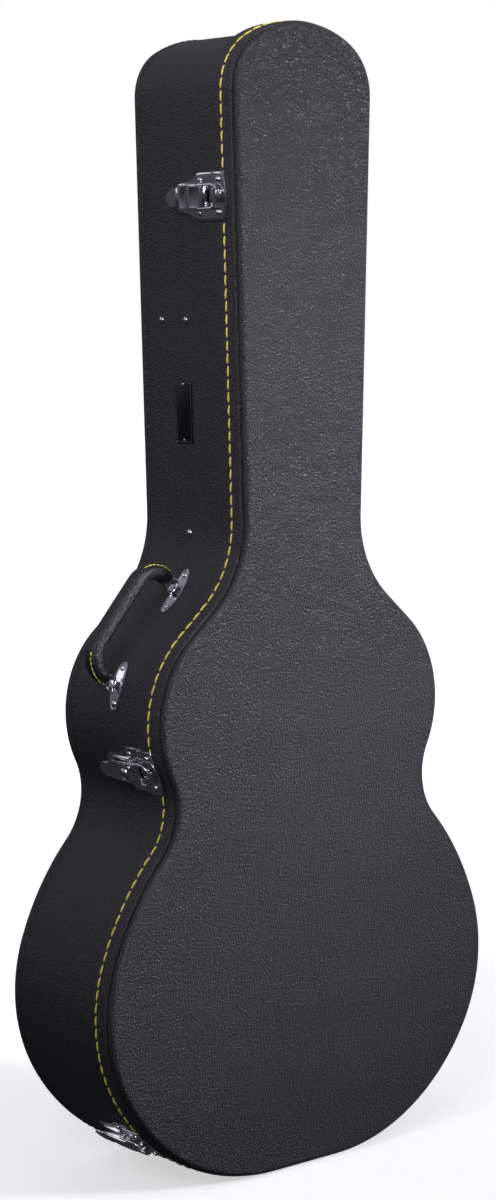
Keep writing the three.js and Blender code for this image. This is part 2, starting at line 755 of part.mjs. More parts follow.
for (const [word, length] of Object.entries(HINGE_LENGTH)) {
  const { x, z } = HINGE_AT[word];
  const group = new THREE.Group();
  group.quaternion.setFromRotationMatrix(
    new THREE.Matrix4().makeBasis(hingeDown, deepAxis, hingeOut),
  );
  group.position.set(x, Y_JOINT, z);
  assembly.add(group);
  piece(`hinge_${word}_body_leaf`, bodyLeaf(length), chrome(), group);
  piece(`hinge_${word}_lid_leaf`, lidLeaf(length), chrome(), group);
  piece(`hinge_${word}_pin`, hingePin(length), chrome(), group);
}

export default assembly;
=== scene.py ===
"""Looks of a hard shell guitar case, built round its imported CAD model.

Shapes are worked out in millimetres and stored in metres, in the model's own frame, +Z up.
The lid faces -Y, the handle and the latches are on the -X side, the hinges on the +X side.
"""

import json
import math

import bmesh
import bpy
import numpy as np
from mathutils import Matrix, Vector

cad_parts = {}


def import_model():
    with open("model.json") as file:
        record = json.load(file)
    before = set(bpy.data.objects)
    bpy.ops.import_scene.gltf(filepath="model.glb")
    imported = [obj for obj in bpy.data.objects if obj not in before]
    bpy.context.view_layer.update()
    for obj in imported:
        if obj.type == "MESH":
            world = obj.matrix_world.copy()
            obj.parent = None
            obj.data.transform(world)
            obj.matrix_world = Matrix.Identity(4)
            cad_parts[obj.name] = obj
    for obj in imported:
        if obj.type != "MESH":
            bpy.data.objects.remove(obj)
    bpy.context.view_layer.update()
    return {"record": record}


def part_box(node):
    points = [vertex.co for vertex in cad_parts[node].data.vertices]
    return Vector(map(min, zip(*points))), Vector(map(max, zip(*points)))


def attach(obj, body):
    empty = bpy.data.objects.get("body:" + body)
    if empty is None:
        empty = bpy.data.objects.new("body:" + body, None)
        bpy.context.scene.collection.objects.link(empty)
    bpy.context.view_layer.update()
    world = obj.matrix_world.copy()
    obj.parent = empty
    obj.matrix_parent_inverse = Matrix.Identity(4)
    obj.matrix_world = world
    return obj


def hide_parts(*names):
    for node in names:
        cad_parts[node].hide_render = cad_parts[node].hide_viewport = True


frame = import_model()
BODY_OF = {
    node: body
    for body, nodes in frame["record"]["behaviour"]["bodies"].items()
    for node in nodes
}
MM = 0.001
DEEP = Vector((0, 1, 0))  # from the lid towards the back
ALONG_X = Matrix.Rotation(math.radians(90), 4, "Y")  # lays a turned part along X


def span(node, axis):
    """Lowest and highest coordinate of a CAD node along an axis, in millimetres."""
    low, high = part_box(node)
    return low[axis] / MM, high[axis] / MM


# ---- Driving sizes ----
Y_FRONT, Y_GROOVE = span("lid_panel", 1)
Y_RIM_FRONT, Y_RIM_BACK = span("lid_rim_left", 1)
Y_WALL_FRONT, Y_WALL_BACK = span("body_side_left", 1)
Y_BACK_PANEL, Y_BACK = span("body_back_panel", 1)
Y_JOINT = (Y_RIM_BACK + Y_WALL_FRONT) / 2
WALL = 5
STEP = 3  # the lid stands this far outside the body
HEAD_STEP = 5  # and this much further over the top of the head
PANEL_INSET = 1.8
GAP = 0.3

# Right half of the lid's outline from the middle of the foot to the head: (radius, amount).
# A run has no radius and its amount is a length; an arc's amount is its turn in degrees.
HALF_OUTLINE = [
    (None, 42),
    (207, 60.3),
    (163, 48.7),
    (278, 23.3),
    (-63.4, 68.4),
    (113.2, 74.6),
    (None, 40.3),
    (-102.9, 50.1),
    (None, 404.2),
    (60, 60),
]
STATION = 5.0  # spacing of the cross-sections along the outline
FOOT_STEPS = 16  # cross-sections on each half of the flat foot
CAP_COLUMNS = 2 * FOOT_STEPS
CROWN_FADE = 60.0  # a crowned face reaches its full height this far from its edge


# ---- Outline ----
def trace_outline():
    """Straight runs and tangent arcs as (x, z, heading, start, length, radius)."""
    segments = []
    x = z = heading = start = 0.0

    def add(radius, amount):
        nonlocal x, z, heading, start
        length = amount if radius is None else abs(radius) * math.radians(amount)
        segments.append((x, z, heading, start, length, radius))
        x, z, heading = along_segment(segments[-1], length)
        start += length

    for radius, amount in HALF_OUTLINE:
        add(radius, amount)
    left = math.pi - heading
    add(x / math.sin(left), math.degrees(left))
    return segments


def along_segment(segment, distance):
    x, z, heading, _, _, radius = segment
    if radius is None:
        return x + distance * math.cos(heading), z + distance * math.sin(heading), heading
    end = heading + distance / radius
    return (
        x + radius * (math.sin(end) - math.sin(heading)),
        z - radius * (math.cos(end) - math.cos(heading)),
        end,
    )


SEGMENTS = trace_outline()
HALF_LENGTH = SEGMENTS[-1][3] + SEGMENTS[-1][4]


def outline_at(along, side=1):
    """(x, z, outward x, outward z) at a distance along half the outline. side is 1 or -1."""
    segment = next((s for s in reversed(SEGMENTS) if s[3] <= along), SEGMENTS[0])
    x, z, heading = along_segment(segment, along - segment[3])
    return side * x, z, side * math.sin(heading), -math.cos(heading)


def off_foot(nz):
    """1 on the sides and the top, and 0 on the flat foot, which stands on the floor."""
    return 1 - np.maximum(0, -np.asarray(nz)) ** 6


def head_step(nz):
    """The body is this much shorter over the head, and the lid's side as much thicker."""
    return HEAD_STEP * np.maximum(0, np.asarray(nz)) ** 4


def body_inset(nz):
    """How far the body's surface stands inside the lid's."""
    return STEP * off_foot(nz) + head_step(nz)


def half_stations():
    foot = SEGMENTS[0][4]
    places = [foot * i / FOOT_STEPS for i in range(FOOT_STEPS)]
    for _, _, _, start, length, _ in SEGMENTS[1:]:
        count = max(1, round(length / STATION))
        places += [start + length * i / count for i in range(count)]
    return places + [HALF_LENGTH]


HALF = half_stations()
RING = np.array(
    [outline_at(s, 1) for s in HALF] + [outline_at(s, -1) for s in HALF[-2:0:-1]]
)
NO_INSET = np.zeros(len(RING))
BODY_INSET = body_inset(RING[:, 3])
HEAD_BLOCK = head_step(RING[:, 3])


# ---- Mesh helpers ----
def scene_object(name, data):
    """A new object, linked into the scene."""
    obj = bpy.data.objects.new(name, data)
    bpy.context.scene.collection.objects.link(obj)
    return obj


def object_from(name, bm, material, matrix=None, sharp=35):
    """An object in metres from a bmesh in millimetres, placed by matrix."""
    if matrix is not None:
        bm.transform(matrix)
    bmesh.ops.recalc_face_normals(bm, faces=bm.faces)
    bm.transform(Matrix.Scale(MM, 4))
    mesh = bpy.data.meshes.new(name)
    bm.to_mesh(mesh)
    bm.free()
    mesh.polygons.foreach_set("use_smooth", [True] * len(mesh.polygons))
    mesh.set_sharp_from_angle(angle=math.radians(sharp))
    mesh.materials.append(material)
    return scene_object(name, mesh)


def frame_matrix(*columns):
    """A placement from three local axes and an origin."""
    return Matrix([[c[i] for c in columns] for i in range(3)] + [[0, 0, 0, 1]])


def subdivided(obj):
    finer = obj.modifiers.new("Finer", "SUBSURF")
    finer.levels = finer.render_levels = 1


def merged(*parts):
    """One bmesh from several."""
    whole = bmesh.new()
    for part in parts:
        mesh = bpy.data.meshes.new("part")
        part.to_mesh(mesh)
        part.free()
        whole.from_mesh(mesh)
        bpy.data.meshes.remove(mesh)
    return whole


def placed(bm, matrix):
    bm.transform(matrix)
    return bm


def moved(bm, x, y, z):
    return placed(bm, Matrix.Translation((x, y, z)))


def grid_mesh(points, close_rows, close_columns):
    """A bmesh from points[row][column], with quads between neighbours."""
    bm = bmesh.new()
    rows = [[bm.verts.new(p) for p in row] for row in points]
    last_row = len(rows) if close_rows else len(rows) - 1
    width = len(rows[0])
    last_column = width if close_columns else width - 1
    for i in range(last_row):
        a, b = rows[i], rows[(i + 1) % len(rows)]
        for j in range(last_column):
            k = (j + 1) % width
            bm.faces.new((a[j], a[k], b[k], b[j]))
    return bm, rows


def arc(cx, cy, radius, start, end, steps, radius_y=None):
    """Points on an arc or a quarter of an ellipse, angles in degrees."""
    ry = radius if radius_y is None else radius_y
    turns = [math.radians(start + (end - start) * i / steps) for i in range(steps + 1)]
    return [(cx + radius * math.cos(t), cy + ry * math.sin(t)) for t in turns]


def prism(outline, z0, z1, bevel=0.0, segments=2, both=False):
    """A flat outline in X and Y, thickened from z0 to z1, with the top rim rounded."""
    bm = bmesh.new()
    low = [bm.verts.new((x, y, z0)) for x, y in outline]
    high = [bm.verts.new((x, y, z1)) for x, y in outline]
    bm.faces.new(list(reversed(low)))
    bm.faces.new(high)
    count = len(outline)
    for i in range(count):
        j = (i + 1) % count
        bm.faces.new((low[i], low[j], high[j], high[i]))
    if bevel:
        top = set(high)
        rims = [e for e in bm.edges if all(v in top for v in e.verts)]
        if both:
            bottom = set(low)
            rims += [e for e in bm.edges if all(v in bottom for v in e.verts)]
        bmesh.ops.bevel(
            bm, geom=rims, offset=bevel, segments=segments, profile=0.5, affect="EDGES",
            clamp_overlap=True,
        )
    return bm


def side_prism(outline, x0, x1, bevel=0.0, segments=2):
    """An outline in Y and Z, thickened from x0 to x1, with both rims rounded."""
    bm = prism(outline, x0, x1, bevel, segments, both=True)
    turn = Matrix(((0, 0, 1, 0), (1, 0, 0, 0), (0, 1, 0, 0), (0, 0, 0, 1)))
    return placed(bm, turn)


def rounded_box(low, high, bevel, segments=3):
    bm = bmesh.new()
    bmesh.ops.create_cube(bm, size=1)
    low, high = Vector(low), Vector(high)
    size = high - low
    for v in bm.verts:
        v.co = low + Vector((v.co[i] + 0.5) * size[i] for i in range(3))
    bmesh.ops.bevel(
        bm, geom=bm.edges[:], offset=bevel, segments=segments, profile=0.5, affect="EDGES",
        clamp_overlap=True,
    )
    return bm


def lathe(profile, sides=28):
    """A turned solid about local Z. The profile is (radius, height), from axis to axis."""
    bm = bmesh.new()
    rings = []
    for radius, height in profile:
        if radius < 1e-6:
            rings.append([bm.verts.new((0, 0, height))])
            continue
        rings.append([bm.verts.new((x, y, height)) for x, y in circle(radius, sides)])
    for a, b in zip(rings, rings[1:]):
        for i in range(sides):
            j = (i + 1) % sides
            if len(a) == 1:
                bm.faces.new((a[0], b[i], b[j]))
            elif len(b) == 1:
                bm.faces.new((a[i], b[0], a[j]))
            else:
                bm.faces.new((a[i], b[i], b[j], a[j]))
    return bm


def sweep(path, section, closed=False, up=(0, 1, 0)):
    """Carries a section, a list or a function of the share travelled, along a path."""
    points = [Vector(p) for p in path]
    up = Vector(up)
    rows = []
    count = len(points)
    for i, p in enumerate(points):
        if closed:
            ahead = points[(i + 1) % count] - points[i - 1]
        else:
            ahead = points[min(i + 1, count - 1)] - points[max(i - 1, 0)]
        side = ahead.cross(up).normalized()
        over = side.cross(ahead).normalized()
        shape = section(i / (count - 1)) if callable(section) else section
        rows.append([p + side * a + over * b for a, b in shape])
    bm, rings = grid_mesh(rows, closed, True)
    if not closed:
        bm.faces.new(rings[0])
        bm.faces.new(rings[-1])
    return bm


def oval(half_x, half_y, sides, power_x=1.0, power_y=1.0):
    """A ring of points, squarer where a power is under 1."""
    points = []
    for i in range(sides):
        turn = 2 * math.pi * i / sides
        c, s = math.cos(turn), math.sin(turn)
        points.append((half_x * math.copysign(abs(c) ** power_x, c),
                       half_y * math.copysign(abs(s) ** power_y, s)))
    return points


def circle(radius, sides):
    return oval(radius, radius, sides)


# ---- Shapes that follow the outline ----
def ring_rows(section, inset, inner_inset=None):
    """Rows of points round the case for a section of (y, distance outside the surface).

    Points on the inside of the wall can have an inset of their own."""
    x, z, nx, nz = RING.T
    keep = off_foot(nz)
    rows = []
    for y, out in section:
        inner = inner_inset is not None and out <= -WALL
        by = (out * keep if out > 0 else out) - (inner_inset if inner else inset)
        rows.append(np.column_stack([x + nx * by, np.full(len(x), y), z + nz * by]))
    return rows


def hoop(section, inset, inner_inset=None):
    """A closed band round the case."""
    bm, _ = grid_mesh(ring_rows(section, inset, inner_inset), True, True)
    return bm


def fill_cap(bm, ring, crown):
    """Closes one ring of the outline with a grid, which rises by crown away from its edge."""
    count = len(HALF)
    total = len(ring)
    row = [ring[(total - i) % total] for i in range(FOOT_STEPS, 0, -1)]
    row += [ring[i] for i in range(FOOT_STEPS + 1)]
    floor_z, top_z = ring[0].co.z, ring[count - 1].co.z

    def ramp(distance):
        t = min(1.0, max(0.0, distance / CROWN_FADE))
        return t * t * (3 - 2 * t)

    for k in range(FOOT_STEPS + 1, count - 1):
        left, right = ring[total - k], ring[k]
        new = [left]
        for j in range(1, CAP_COLUMNS):
            share = j / CAP_COLUMNS
            at = left.co.lerp(right.co, share)
            edge = min(share, 1 - share) * (right.co.x - left.co.x)
            at.y += crown * ramp(edge) * ramp(at.z - floor_z) * ramp(top_z - at.z)
            new.append(bm.verts.new(at))
        new.append(right)
        for j in range(CAP_COLUMNS):
            bm.faces.new((row[j], row[j + 1], new[j + 1], new[j]))
        row = new
    top = ring[count - 1]
    for j in range(CAP_COLUMNS):
        bm.faces.new((row[j], row[j + 1], top))


def capped(section, inset, crown=0.0):
    """A closed slab round the case: a section from one face's edge to the other's."""
    bm, rows = grid_mesh(ring_rows(section, inset), False, True)
    fill_cap(bm, rows[0], 0.0)
    fill_cap(bm, rows[-1], crown)
    return bm


# ---- Materials ----
class Nodes:
    """A short way to write a material's node tree."""

    def __init__(self, name):
        self.material = bpy.data.materials.new(name)
        self.material.use_nodes = True
        self.tree = self.material.node_tree
        self.shader = self.tree.nodes["Principled BSDF"]
        self.place = self.add("ShaderNodeTexCoord").outputs["Object"]

    def add(self, kind, inputs=None, **settings):
        node = self.tree.nodes.new(kind)
        for key, value in settings.items():
            setattr(node, key, value)
        for key, value in (inputs or {}).items():
            if isinstance(value, bpy.types.NodeSocket):
                self.tree.links.new(value, node.inputs[key])
            else:
                node.inputs[key].default_value = value
        return node

    def noise(self, scale, detail=2.0, roughness=0.5, distortion=0.0, vector=None):
        return self.add(
            "ShaderNodeTexNoise",
            {"Vector": vector or self.place, "Scale": scale, "Detail": detail,
             "Roughness": roughness, "Distortion": distortion},
        ).outputs["Fac"]

    def voronoi(self, scale, feature="F1", vector=None):
        return self.add(
            "ShaderNodeTexVoronoi", {"Vector": vector or self.place, "Scale": scale},
            feature=feature,
        ).outputs["Distance"]

    def math(self, operation, a, b=0.0, clamp=False):
        return self.add(
            "ShaderNodeMath", {0: a, 1: b}, operation=operation, use_clamp=clamp,
        ).outputs[0]

    def weighted(self, a, share_a, b, share_b, clamp=False):
        """Sum of two values, each by its share."""
        first = self.math("MULTIPLY", a, share_a)
        return self.math("ADD", first, self.math("MULTIPLY", b, share_b), clamp)

    def remap(self, value, low, high, new_low, new_high):
        return self.add(
            "ShaderNodeMapRange",
            {"Value": value, "From Min": low, "From Max": high,
             "To Min": new_low, "To Max": new_high},
        ).outputs["Result"]

    def blend(self, share, first, second):
        node = self.add("ShaderNodeMix", data_type="RGBA")
        self.tree.links.new(share, node.inputs[0])
        node.inputs[6].default_value = (*first, 1)
        node.inputs[7].default_value = (*second, 1)
        return node.outputs[2]

    def bump(self, height, strength, distance):
        inputs = {"Height": height, "Strength": strength, "Distance": distance}
        return self.add("ShaderNodeBump", inputs).outputs["Normal"]

    def warped(self, scale, amount):
        """Object coordinates pushed about by noise, so that cells run into swirls."""
        push = self.add(
            "ShaderNodeTexNoise", {"Vector": self.place, "Scale": scale, "Detail": 1.0},
        ).outputs["Color"]
        scaled = self.add("ShaderNodeVectorMath", {0: push, "Scale": amount}, operation="SCALE")
        return self.add(
            "ShaderNodeVectorMath", {0: self.place, 1: scaled.outputs[0]}, operation="ADD",
        ).outputs[0]

    def done(self, **shader):
        for key, value in shader.items():
            socket = self.shader.inputs[key.replace("_", " ")]
            if isinstance(value, bpy.types.NodeSocket):
                self.tree.links.new(value, socket)
            else:
                socket.default_value = value
        return self.material


def grained_vinyl(name, grain, depth, dark, light, rough):
    """Pebbled vinyl: rounded pebbles between fine valleys, with slow changes of gloss."""
    n = Nodes(name)
    swirl = n.warped(0.6 / grain, 0.45 * grain)
    pebble = n.voronoi(1 / grain, "SMOOTH_F1", swirl)
    valley = n.voronoi(1 / grain, "DISTANCE_TO_EDGE", swirl)
    fine = n.noise(3.4 / grain, 3.0, 0.6)
    slow = n.noise(7.0, 3.0, 0.55)
    wear = n.noise(38.0, 4.0, 0.7)
    raised = n.remap(valley, 0.0, 0.28, 0.0, 1.0)
    height = n.weighted(raised, 0.7, fine, 0.35)
    height = n.math("SUBTRACT", height, n.math("MULTIPLY", pebble, 0.5))
    tone = n.weighted(raised, 0.55, slow, 0.6, clamp=True)
    gloss = n.weighted(slow, 0.14, wear, 0.08)
    return n.done(
        Base_Color=n.blend(tone, dark, light),
        Roughness=n.math("ADD", gloss, rough - 0.11, clamp=True),
        Specular_IOR_Level=0.5,
        Normal=n.bump(height, 0.9, depth),
    )


def polished_chrome(name, tint=(0.80, 0.81, 0.84), rough=0.075):
    """Plated steel with a faint orange peel and hairline wiping marks."""
    n = Nodes(name)
    peel = n.noise(420.0, 2.0, 0.5)
    haze = n.noise(60.0, 4.0, 0.65)
    wiped = n.add("ShaderNodeMapping", {"Vector": n.place, "Scale": (1.0, 14.0, 1.0)}).outputs[0]
    hair = n.noise(260.0, 3.0, 0.6, vector=wiped)
    shade = n.weighted(haze, 0.7, hair, 0.3)
    darker = tuple(c * 0.82 for c in tint)
    return n.done(
        Base_Color=n.blend(shade, darker, tint),
        Metallic=1.0,
        Roughness=n.remap(shade, 0.3, 0.75, rough * 0.6, rough * 1.7),
        Normal=n.bump(peel, 0.12, 0.00012),
    )


def twisted_thread(name, shade, light):
    n = Nodes(name)
    fibre = n.noise(2600.0, 3.0, 0.7)
    tone = n.noise(120.0, 2.0, 0.5)
    mixed = n.weighted(fibre, 0.6, tone, 0.4)
    return n.done(
        Base_Color=n.blend(mixed, shade, light),
        Roughness=n.remap(fibre, 0.2, 0.8, 0.38, 0.62),
        Sheen_Weight=0.35,
        Sheen_Roughness=0.4,
        Normal=n.bump(fibre, 0.5, 0.00015),
    )


def short_plush(name, dark, light):
    n = Nodes(name)
    pile = n.noise(1500.0, 3.0, 0.75)
    nap = n.noise(26.0, 4.0, 0.6, distortion=0.6)
    tuft = n.voronoi(520.0)
    height = n.weighted(pile, 0.7, tuft, 0.5)
    return n.done(
        Base_Color=n.blend(n.weighted(nap, 0.8, pile, 0.2), dark, light),
        Roughness=n.remap(nap, 0.3, 0.7, 0.82, 0.98),
        Sheen_Weight=0.8,
        Sheen_Roughness=0.35,
        Sheen_Tint=(0.55, 0.56, 0.6, 1),
        Normal=n.bump(height, 0.7, 0.0006),
    )


def woven_ribbon(name):
    n = Nodes(name)
    across = n.add("ShaderNodeTexWave", {"Vector": n.place, "Scale": 420.0, "Distortion": 0.3},
                   bands_direction="Z").outputs["Fac"]
    along = n.add("ShaderNodeTexWave", {"Vector": n.place, "Scale": 420.0, "Distortion": 0.3},
                  bands_direction="X").outputs["Fac"]
    weave = n.math("MULTIPLY", across, along)
    return n.done(
        Base_Color=n.blend(weave, (0.008, 0.008, 0.009), (0.03, 0.03, 0.033)),
        Roughness=n.remap(weave, 0, 1, 0.65, 0.42),
        Sheen_Weight=0.3,
        Normal=n.bump(weave, 0.6, 0.0002),
    )


def anodised_plate(name):
    n = Nodes(name)
    brushed = n.add("ShaderNodeMapping", {"Vector": n.place, "Scale": (1, 1, 0.04)}).outputs[0]
    streak = n.noise(2400.0, 3.0, 0.6, vector=brushed)
    return n.done(
        Base_Color=n.blend(streak, (0.004, 0.004, 0.005), (0.014, 0.014, 0.016)),
        Metallic=0.4,
        Roughness=n.remap(streak, 0.2, 0.8, 0.22, 0.38),
        Normal=n.bump(streak, 0.1, 0.00005),
    )


# Near-black painted shade for the inside of a hole, such as the keyhole; the noise only mottles its
# colour, roughness and bump.
def painted_hole_shade(name):
    n = Nodes(name)
    mottle = n.noise(300.0, 3.0, 0.6)
    return n.done(
        Base_Color=n.blend(mottle, (0.002, 0.002, 0.0025), (0.008, 0.008, 0.009)),
        Roughness=n.remap(mottle, 0.3, 0.7, 0.5, 0.8),
        Normal=n.bump(mottle, 0.2, 0.0001),
    )


VINYL = grained_vinyl(
    "vinyl", 0.0026, 0.00062, (0.0135, 0.0129, 0.0150), (0.0265, 0.0258, 0.0290), 0.45,
)
LEATHER = grained_vinyl(
    "grip_leather", 0.0021, 0.00036, (0.008, 0.0078, 0.0084), (0.018, 0.0176, 0.0185), 0.36,
)
CHROME = polished_chrome("chrome")
WIRE = polished_chrome("chrome_wire", (0.74, 0.75, 0.79), 0.1)
YELLOW = twisted_thread("yellow_thread", (0.86, 0.74, 0.07), (1.0, 0.95, 0.28))
BLACK_THREAD = twisted_thread("black_thread", (0.006, 0.006, 0.007), (0.022, 0.022, 0.024))
PLUSH = short_plush("plush", (0.006, 0.006, 0.007), (0.017, 0.017, 0.019))
RIBBON = woven_ribbon("ribbon")
PLATE = anodised_plate("badge_plate")
HOLE_SHADE = painted_hole_shade("keyhole_shade")


def stand_for(obj, slot, *nodes):
    """obj shows in place of these CAD nodes and rides on their body. The slot argument is not used.
    """
    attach(obj, BODY_OF[nodes[0]])
    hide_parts(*nodes)
    return obj


def trim(obj, node):
    """A detail that rides with a CAD node's body."""
    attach(obj, BODY_OF[node])
    return obj


def chrome(name, bm, node, here=None):
    """A chrome piece in place of one CAD node."""
    stand_for(object_from(name, bm, CHROME, here), "chrome", node)


# ---- Shell ----
STITCH_Y = Y_GROOVE + 15  # top stitching of the lid's rim
LAP_Y = 68.5  # edge of the covering that is lapped from the back over the wall
BACK_STITCH_Y = 71.5


def body_wall():
    soft = 1.5
    corner = arc(Y_WALL_FRONT + soft, -soft, soft, 180, 90, 5)
    outer = [(Y_WALL_FRONT + y, 0) for y in (12, 40, 75, 100)]
    section = [*corner, *outer, (Y_WALL_BACK, 0), (Y_WALL_BACK, -WALL), (Y_WALL_FRONT, -WALL)]
    wall = object_from("body_wall", hoop(section, BODY_INSET), VINYL)
    stand_for(wall, "vinyl", "body_side_left", "body_side_right")


def body_back():
    """Back panel, with its covering lapped over the wall in a low ridge."""
    lap = 0.55
    round_y, round_out = 7.0, 6.5
    edge = arc(Y_BACK - round_y, lap - round_out, round_y, 90, 0, 12, round_out)
    section = [
        (Y_BACK_PANEL, -WALL - 6),
        (Y_BACK_PANEL, 0.02),
        (LAP_Y + 0.1, 0.02),
        (LAP_Y, 0.3),
        (LAP_Y + 0.4, lap),
        (BACK_STITCH_Y - 0.9, lap),
        (BACK_STITCH_Y, lap - 0.3),
        (BACK_STITCH_Y + 0.9, lap),
        *edge,
        (Y_BACK, -round_out - 4),
    ]
    bm = capped(section, BODY_INSET)
    panel = object_from("body_back_cover", bm, VINYL, sharp=50)
    stand_for(panel, "vinyl", "body_back_panel")


def lid_rim():
    """Side of the lid: rounded at the joint, dented by the stitches, beaded at the front."""
    soft = 1.3
    bead = 2.8
    joint = arc(Y_RIM_BACK - soft, -soft, soft, 0, 90, 5)
    dent = [(STITCH_Y + 1.8, 0), (STITCH_Y + 0.8, -0.25), (STITCH_Y, -0.38),
            (STITCH_Y - 0.8, -0.25), (STITCH_Y - 1.8, 0)]
    front = arc(Y_RIM_FRONT + bead, -bead, bead, 90, 180, 8)
    swell = [(Y_RIM_FRONT + 6.2, -0.25), (Y_RIM_FRONT + 5.0, -0.38), (Y_RIM_FRONT + 3.9, -0.2)]
    section = [*joint, *dent, *swell, *front, (Y_RIM_FRONT, -WALL), (Y_RIM_BACK, -WALL)]
    rim = object_from("lid_rim", hoop(section, NO_INSET, HEAD_BLOCK), VINYL)
    stand_for(rim, "vinyl", "lid_rim_left", "lid_rim_right")


def lid_panel():
    """Front of the lid: a dark groove, a rounded padded edge and a faintly crowned face."""
    depth = Y_GROOVE - Y_FRONT
    round_out, round_y = 4.4, 4.6
    edge = arc(Y_FRONT + round_y, -PANEL_INSET - round_out, round_y, 90, 180, 12, round_out)
    section = [
        (Y_GROOVE, -WALL - 6),
        (Y_GROOVE, -PANEL_INSET - 0.9),
        (Y_FRONT + depth * 0.8, -PANEL_INSET),
        *edge,
        (Y_FRONT + 0.12, -PANEL_INSET - round_out - 5),
    ]
    bm = capped(section, NO_INSET, crown=-0.12)
    stand_for(object_from("lid_front", bm, VINYL, sharp=50), "vinyl", "lid_panel")


def stitch_mesh(length, thick):
    """One twisted stitch along local X, lying on z = 0 and going in at both ends."""
    rings, sides, ply = 13, 10, 2
    rows = []
    for i in range(rings):
        share = i / (rings - 1)
        swell = math.sin(math.pi * share) ** 0.35 if 0 < share < 1 else 0.0
        radius = thick / 2 * (0.35 + 0.65 * swell)
        rise = thick * (0.42 * swell - 0.3)
        row = []
        for j in range(sides):
            turn = 2 * math.pi * j / sides
            r = radius * (1 + 0.13 * math.cos(ply * turn - 9.0 * share * ply))
            row.append((length * (share - 0.5), r * math.cos(turn), rise + r * math.sin(turn)))
        rows.append(row)
    bm, rings_made = grid_mesh(rows, False, True)
    bm.faces.new(rings_made[0])
    bm.faces.new(rings_made[-1])
    mesh = bpy.data.meshes.new("stitch")
    bm.to_mesh(mesh)
    bm.free()
    return mesh


def add_copy(whole, mesh, place):
    """Adds a mesh to a bmesh, moved to its place."""
    copy = mesh.copy()
    copy.transform(place)
    whole.from_mesh(copy)
    bpy.data.meshes.remove(copy)


def surface_matrix(along, y, side, lift=0.0):
    """Local X up along the wall, Y into the depth, Z outwards."""
    x, z, nx, nz = outline_at(along, side)
    out = Vector((nx, 0, nz))
    return frame_matrix(DEEP.cross(out), DEEP, out, Vector((x, y, z)) + out * lift)


def stitch_line(name, node, y, pitch, length, thick, slant, material, inset_share, lift):
    """Stitches all round the case except under the flat foot."""
    mesh = stitch_mesh(length, thick)
    whole = bmesh.new()
    draw = np.random.default_rng(7)
    first, last = HALF_OUTLINE[0][1] + 22, HALF_LENGTH - pitch / 2
    count = round((last - first) / pitch)
    for side in (1, -1):
        for i in range(count + 1):
            along = first + (last - first) * i / count
            _, _, _, nz = outline_at(along, side)
            out = lift - inset_share * float(body_inset(nz))
            place = surface_matrix(along, y, side, out)
            lean = Matrix.Rotation(math.radians(slant * side + draw.normal(0, 1.2)), 4, "Z")
            shift = Matrix.Translation((draw.normal(0, 0.15), draw.normal(0, 0.08), 0))
            add_copy(whole, mesh, place @ shift @ lean)
    bpy.data.meshes.remove(mesh)
    trim(object_from(name, whole, material, sharp=60), node)


# ---- Padding inside ----
PRESSURE = 4.0
FRAMES = 20


def simulate(obj, voxel, cap):
    """Swells a pad with cloth pressure, and keeps every point within cap of its start."""
    remesh = obj.modifiers.new("Remesh", "REMESH")
    remesh.mode = "VOXEL"
    remesh.voxel_size = voxel * MM
    settle(obj)
    rest = coordinates(obj.data)
    cloth = obj.modifiers.new("Cloth", "CLOTH")
    cloth.settings.quality = 4
    cloth.settings.use_pressure = True
    cloth.settings.uniform_pressure_force = PRESSURE
    cloth.settings.effector_weights.gravity = 0
    cloth.settings.tension_stiffness = 12
    cloth.settings.compression_stiffness = 12
    cloth.settings.bending_stiffness = 0.6
    cloth.point_cache.frame_start = 1
    cloth.point_cache.frame_end = FRAMES
    scene = bpy.context.scene
    for number in range(1, FRAMES + 1):
        scene.frame_set(number)
    settle(obj)
    scene.frame_set(1)
    moved_by = coordinates(obj.data) - rest
    size = np.linalg.norm(moved_by, axis=1, keepdims=True)
    moved_by *= np.minimum(1, cap * MM / np.maximum(size, 1e-9))
    set_coordinates(obj.data, rest + moved_by)


def coordinates(mesh):
    co = np.zeros(len(mesh.vertices) * 3, np.float32)
    mesh.vertices.foreach_get("co", co)
    return co.reshape(-1, 3).astype(float)


def set_coordinates(mesh, co):
    mesh.vertices.foreach_set("co", co.astype(np.float32).ravel())
    mesh.update()


def settle(obj):
    """Applies the object's modifiers."""
    graph = bpy.context.evaluated_depsgraph_get()
    mesh = bpy.data.meshes.new_from_object(obj.evaluated_get(graph))
    materials = list(obj.data.materials)
    obj.modifiers.clear()
    obj.data = mesh
    mesh.materials.clear()
    for material in materials:
        mesh.materials.append(material)
    mesh.polygons.foreach_set("use_smooth", [True] * len(mesh.polygons))


def soft_pad(name, bm, node, voxel, cap):
    """A foam pad under plush, swelled by simulation and held inside its CAD box."""
    pad = object_from(name, bm, PLUSH, sharp=60)
    simulate(pad, voxel, cap)
    low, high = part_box(node)
    set_coordinates(pad.data, np.clip(coordinates(pad.data), np.array(low), np.array(high)))
    subdivided(pad)
    stand_for(pad, "plush", node)


def pillow_section(y0, y1, edge, start, soft):
    """From the middle of one face round the edge to the middle of the other."""
    middle = (y0 + y1) / 2
    half = (y1 - y0) / 2
    turns = [math.radians(180 * i / 8) for i in range(9)]
    rim = [(middle - half * math.cos(t), edge - soft + soft * math.sin(t)) for t in turns]
    return [(y0, start), *rim, (y1, start)]


def padding():
    swell = 1.2
    y0, y1 = span("body_floor_pad", 1)
    edge = -(WALL + GAP) - swell
    floor = capped(pillow_section(y0 + swell, y1 - 0.3, edge, edge - 12, 4), BODY_INSET)
    soft_pad("floor_pad", floor, "body_floor_pad", 5.0, 2.5)
    y0, y1 = span("lid_pad", 1)
    lining = capped(pillow_section(y0 + 0.3, y1 - swell, edge, edge - 12, 4), HEAD_BLOCK)
    soft_pad("lid_lining", lining, "lid_pad", 5.0, 2.5)
    side_pad()
    neck_rest()


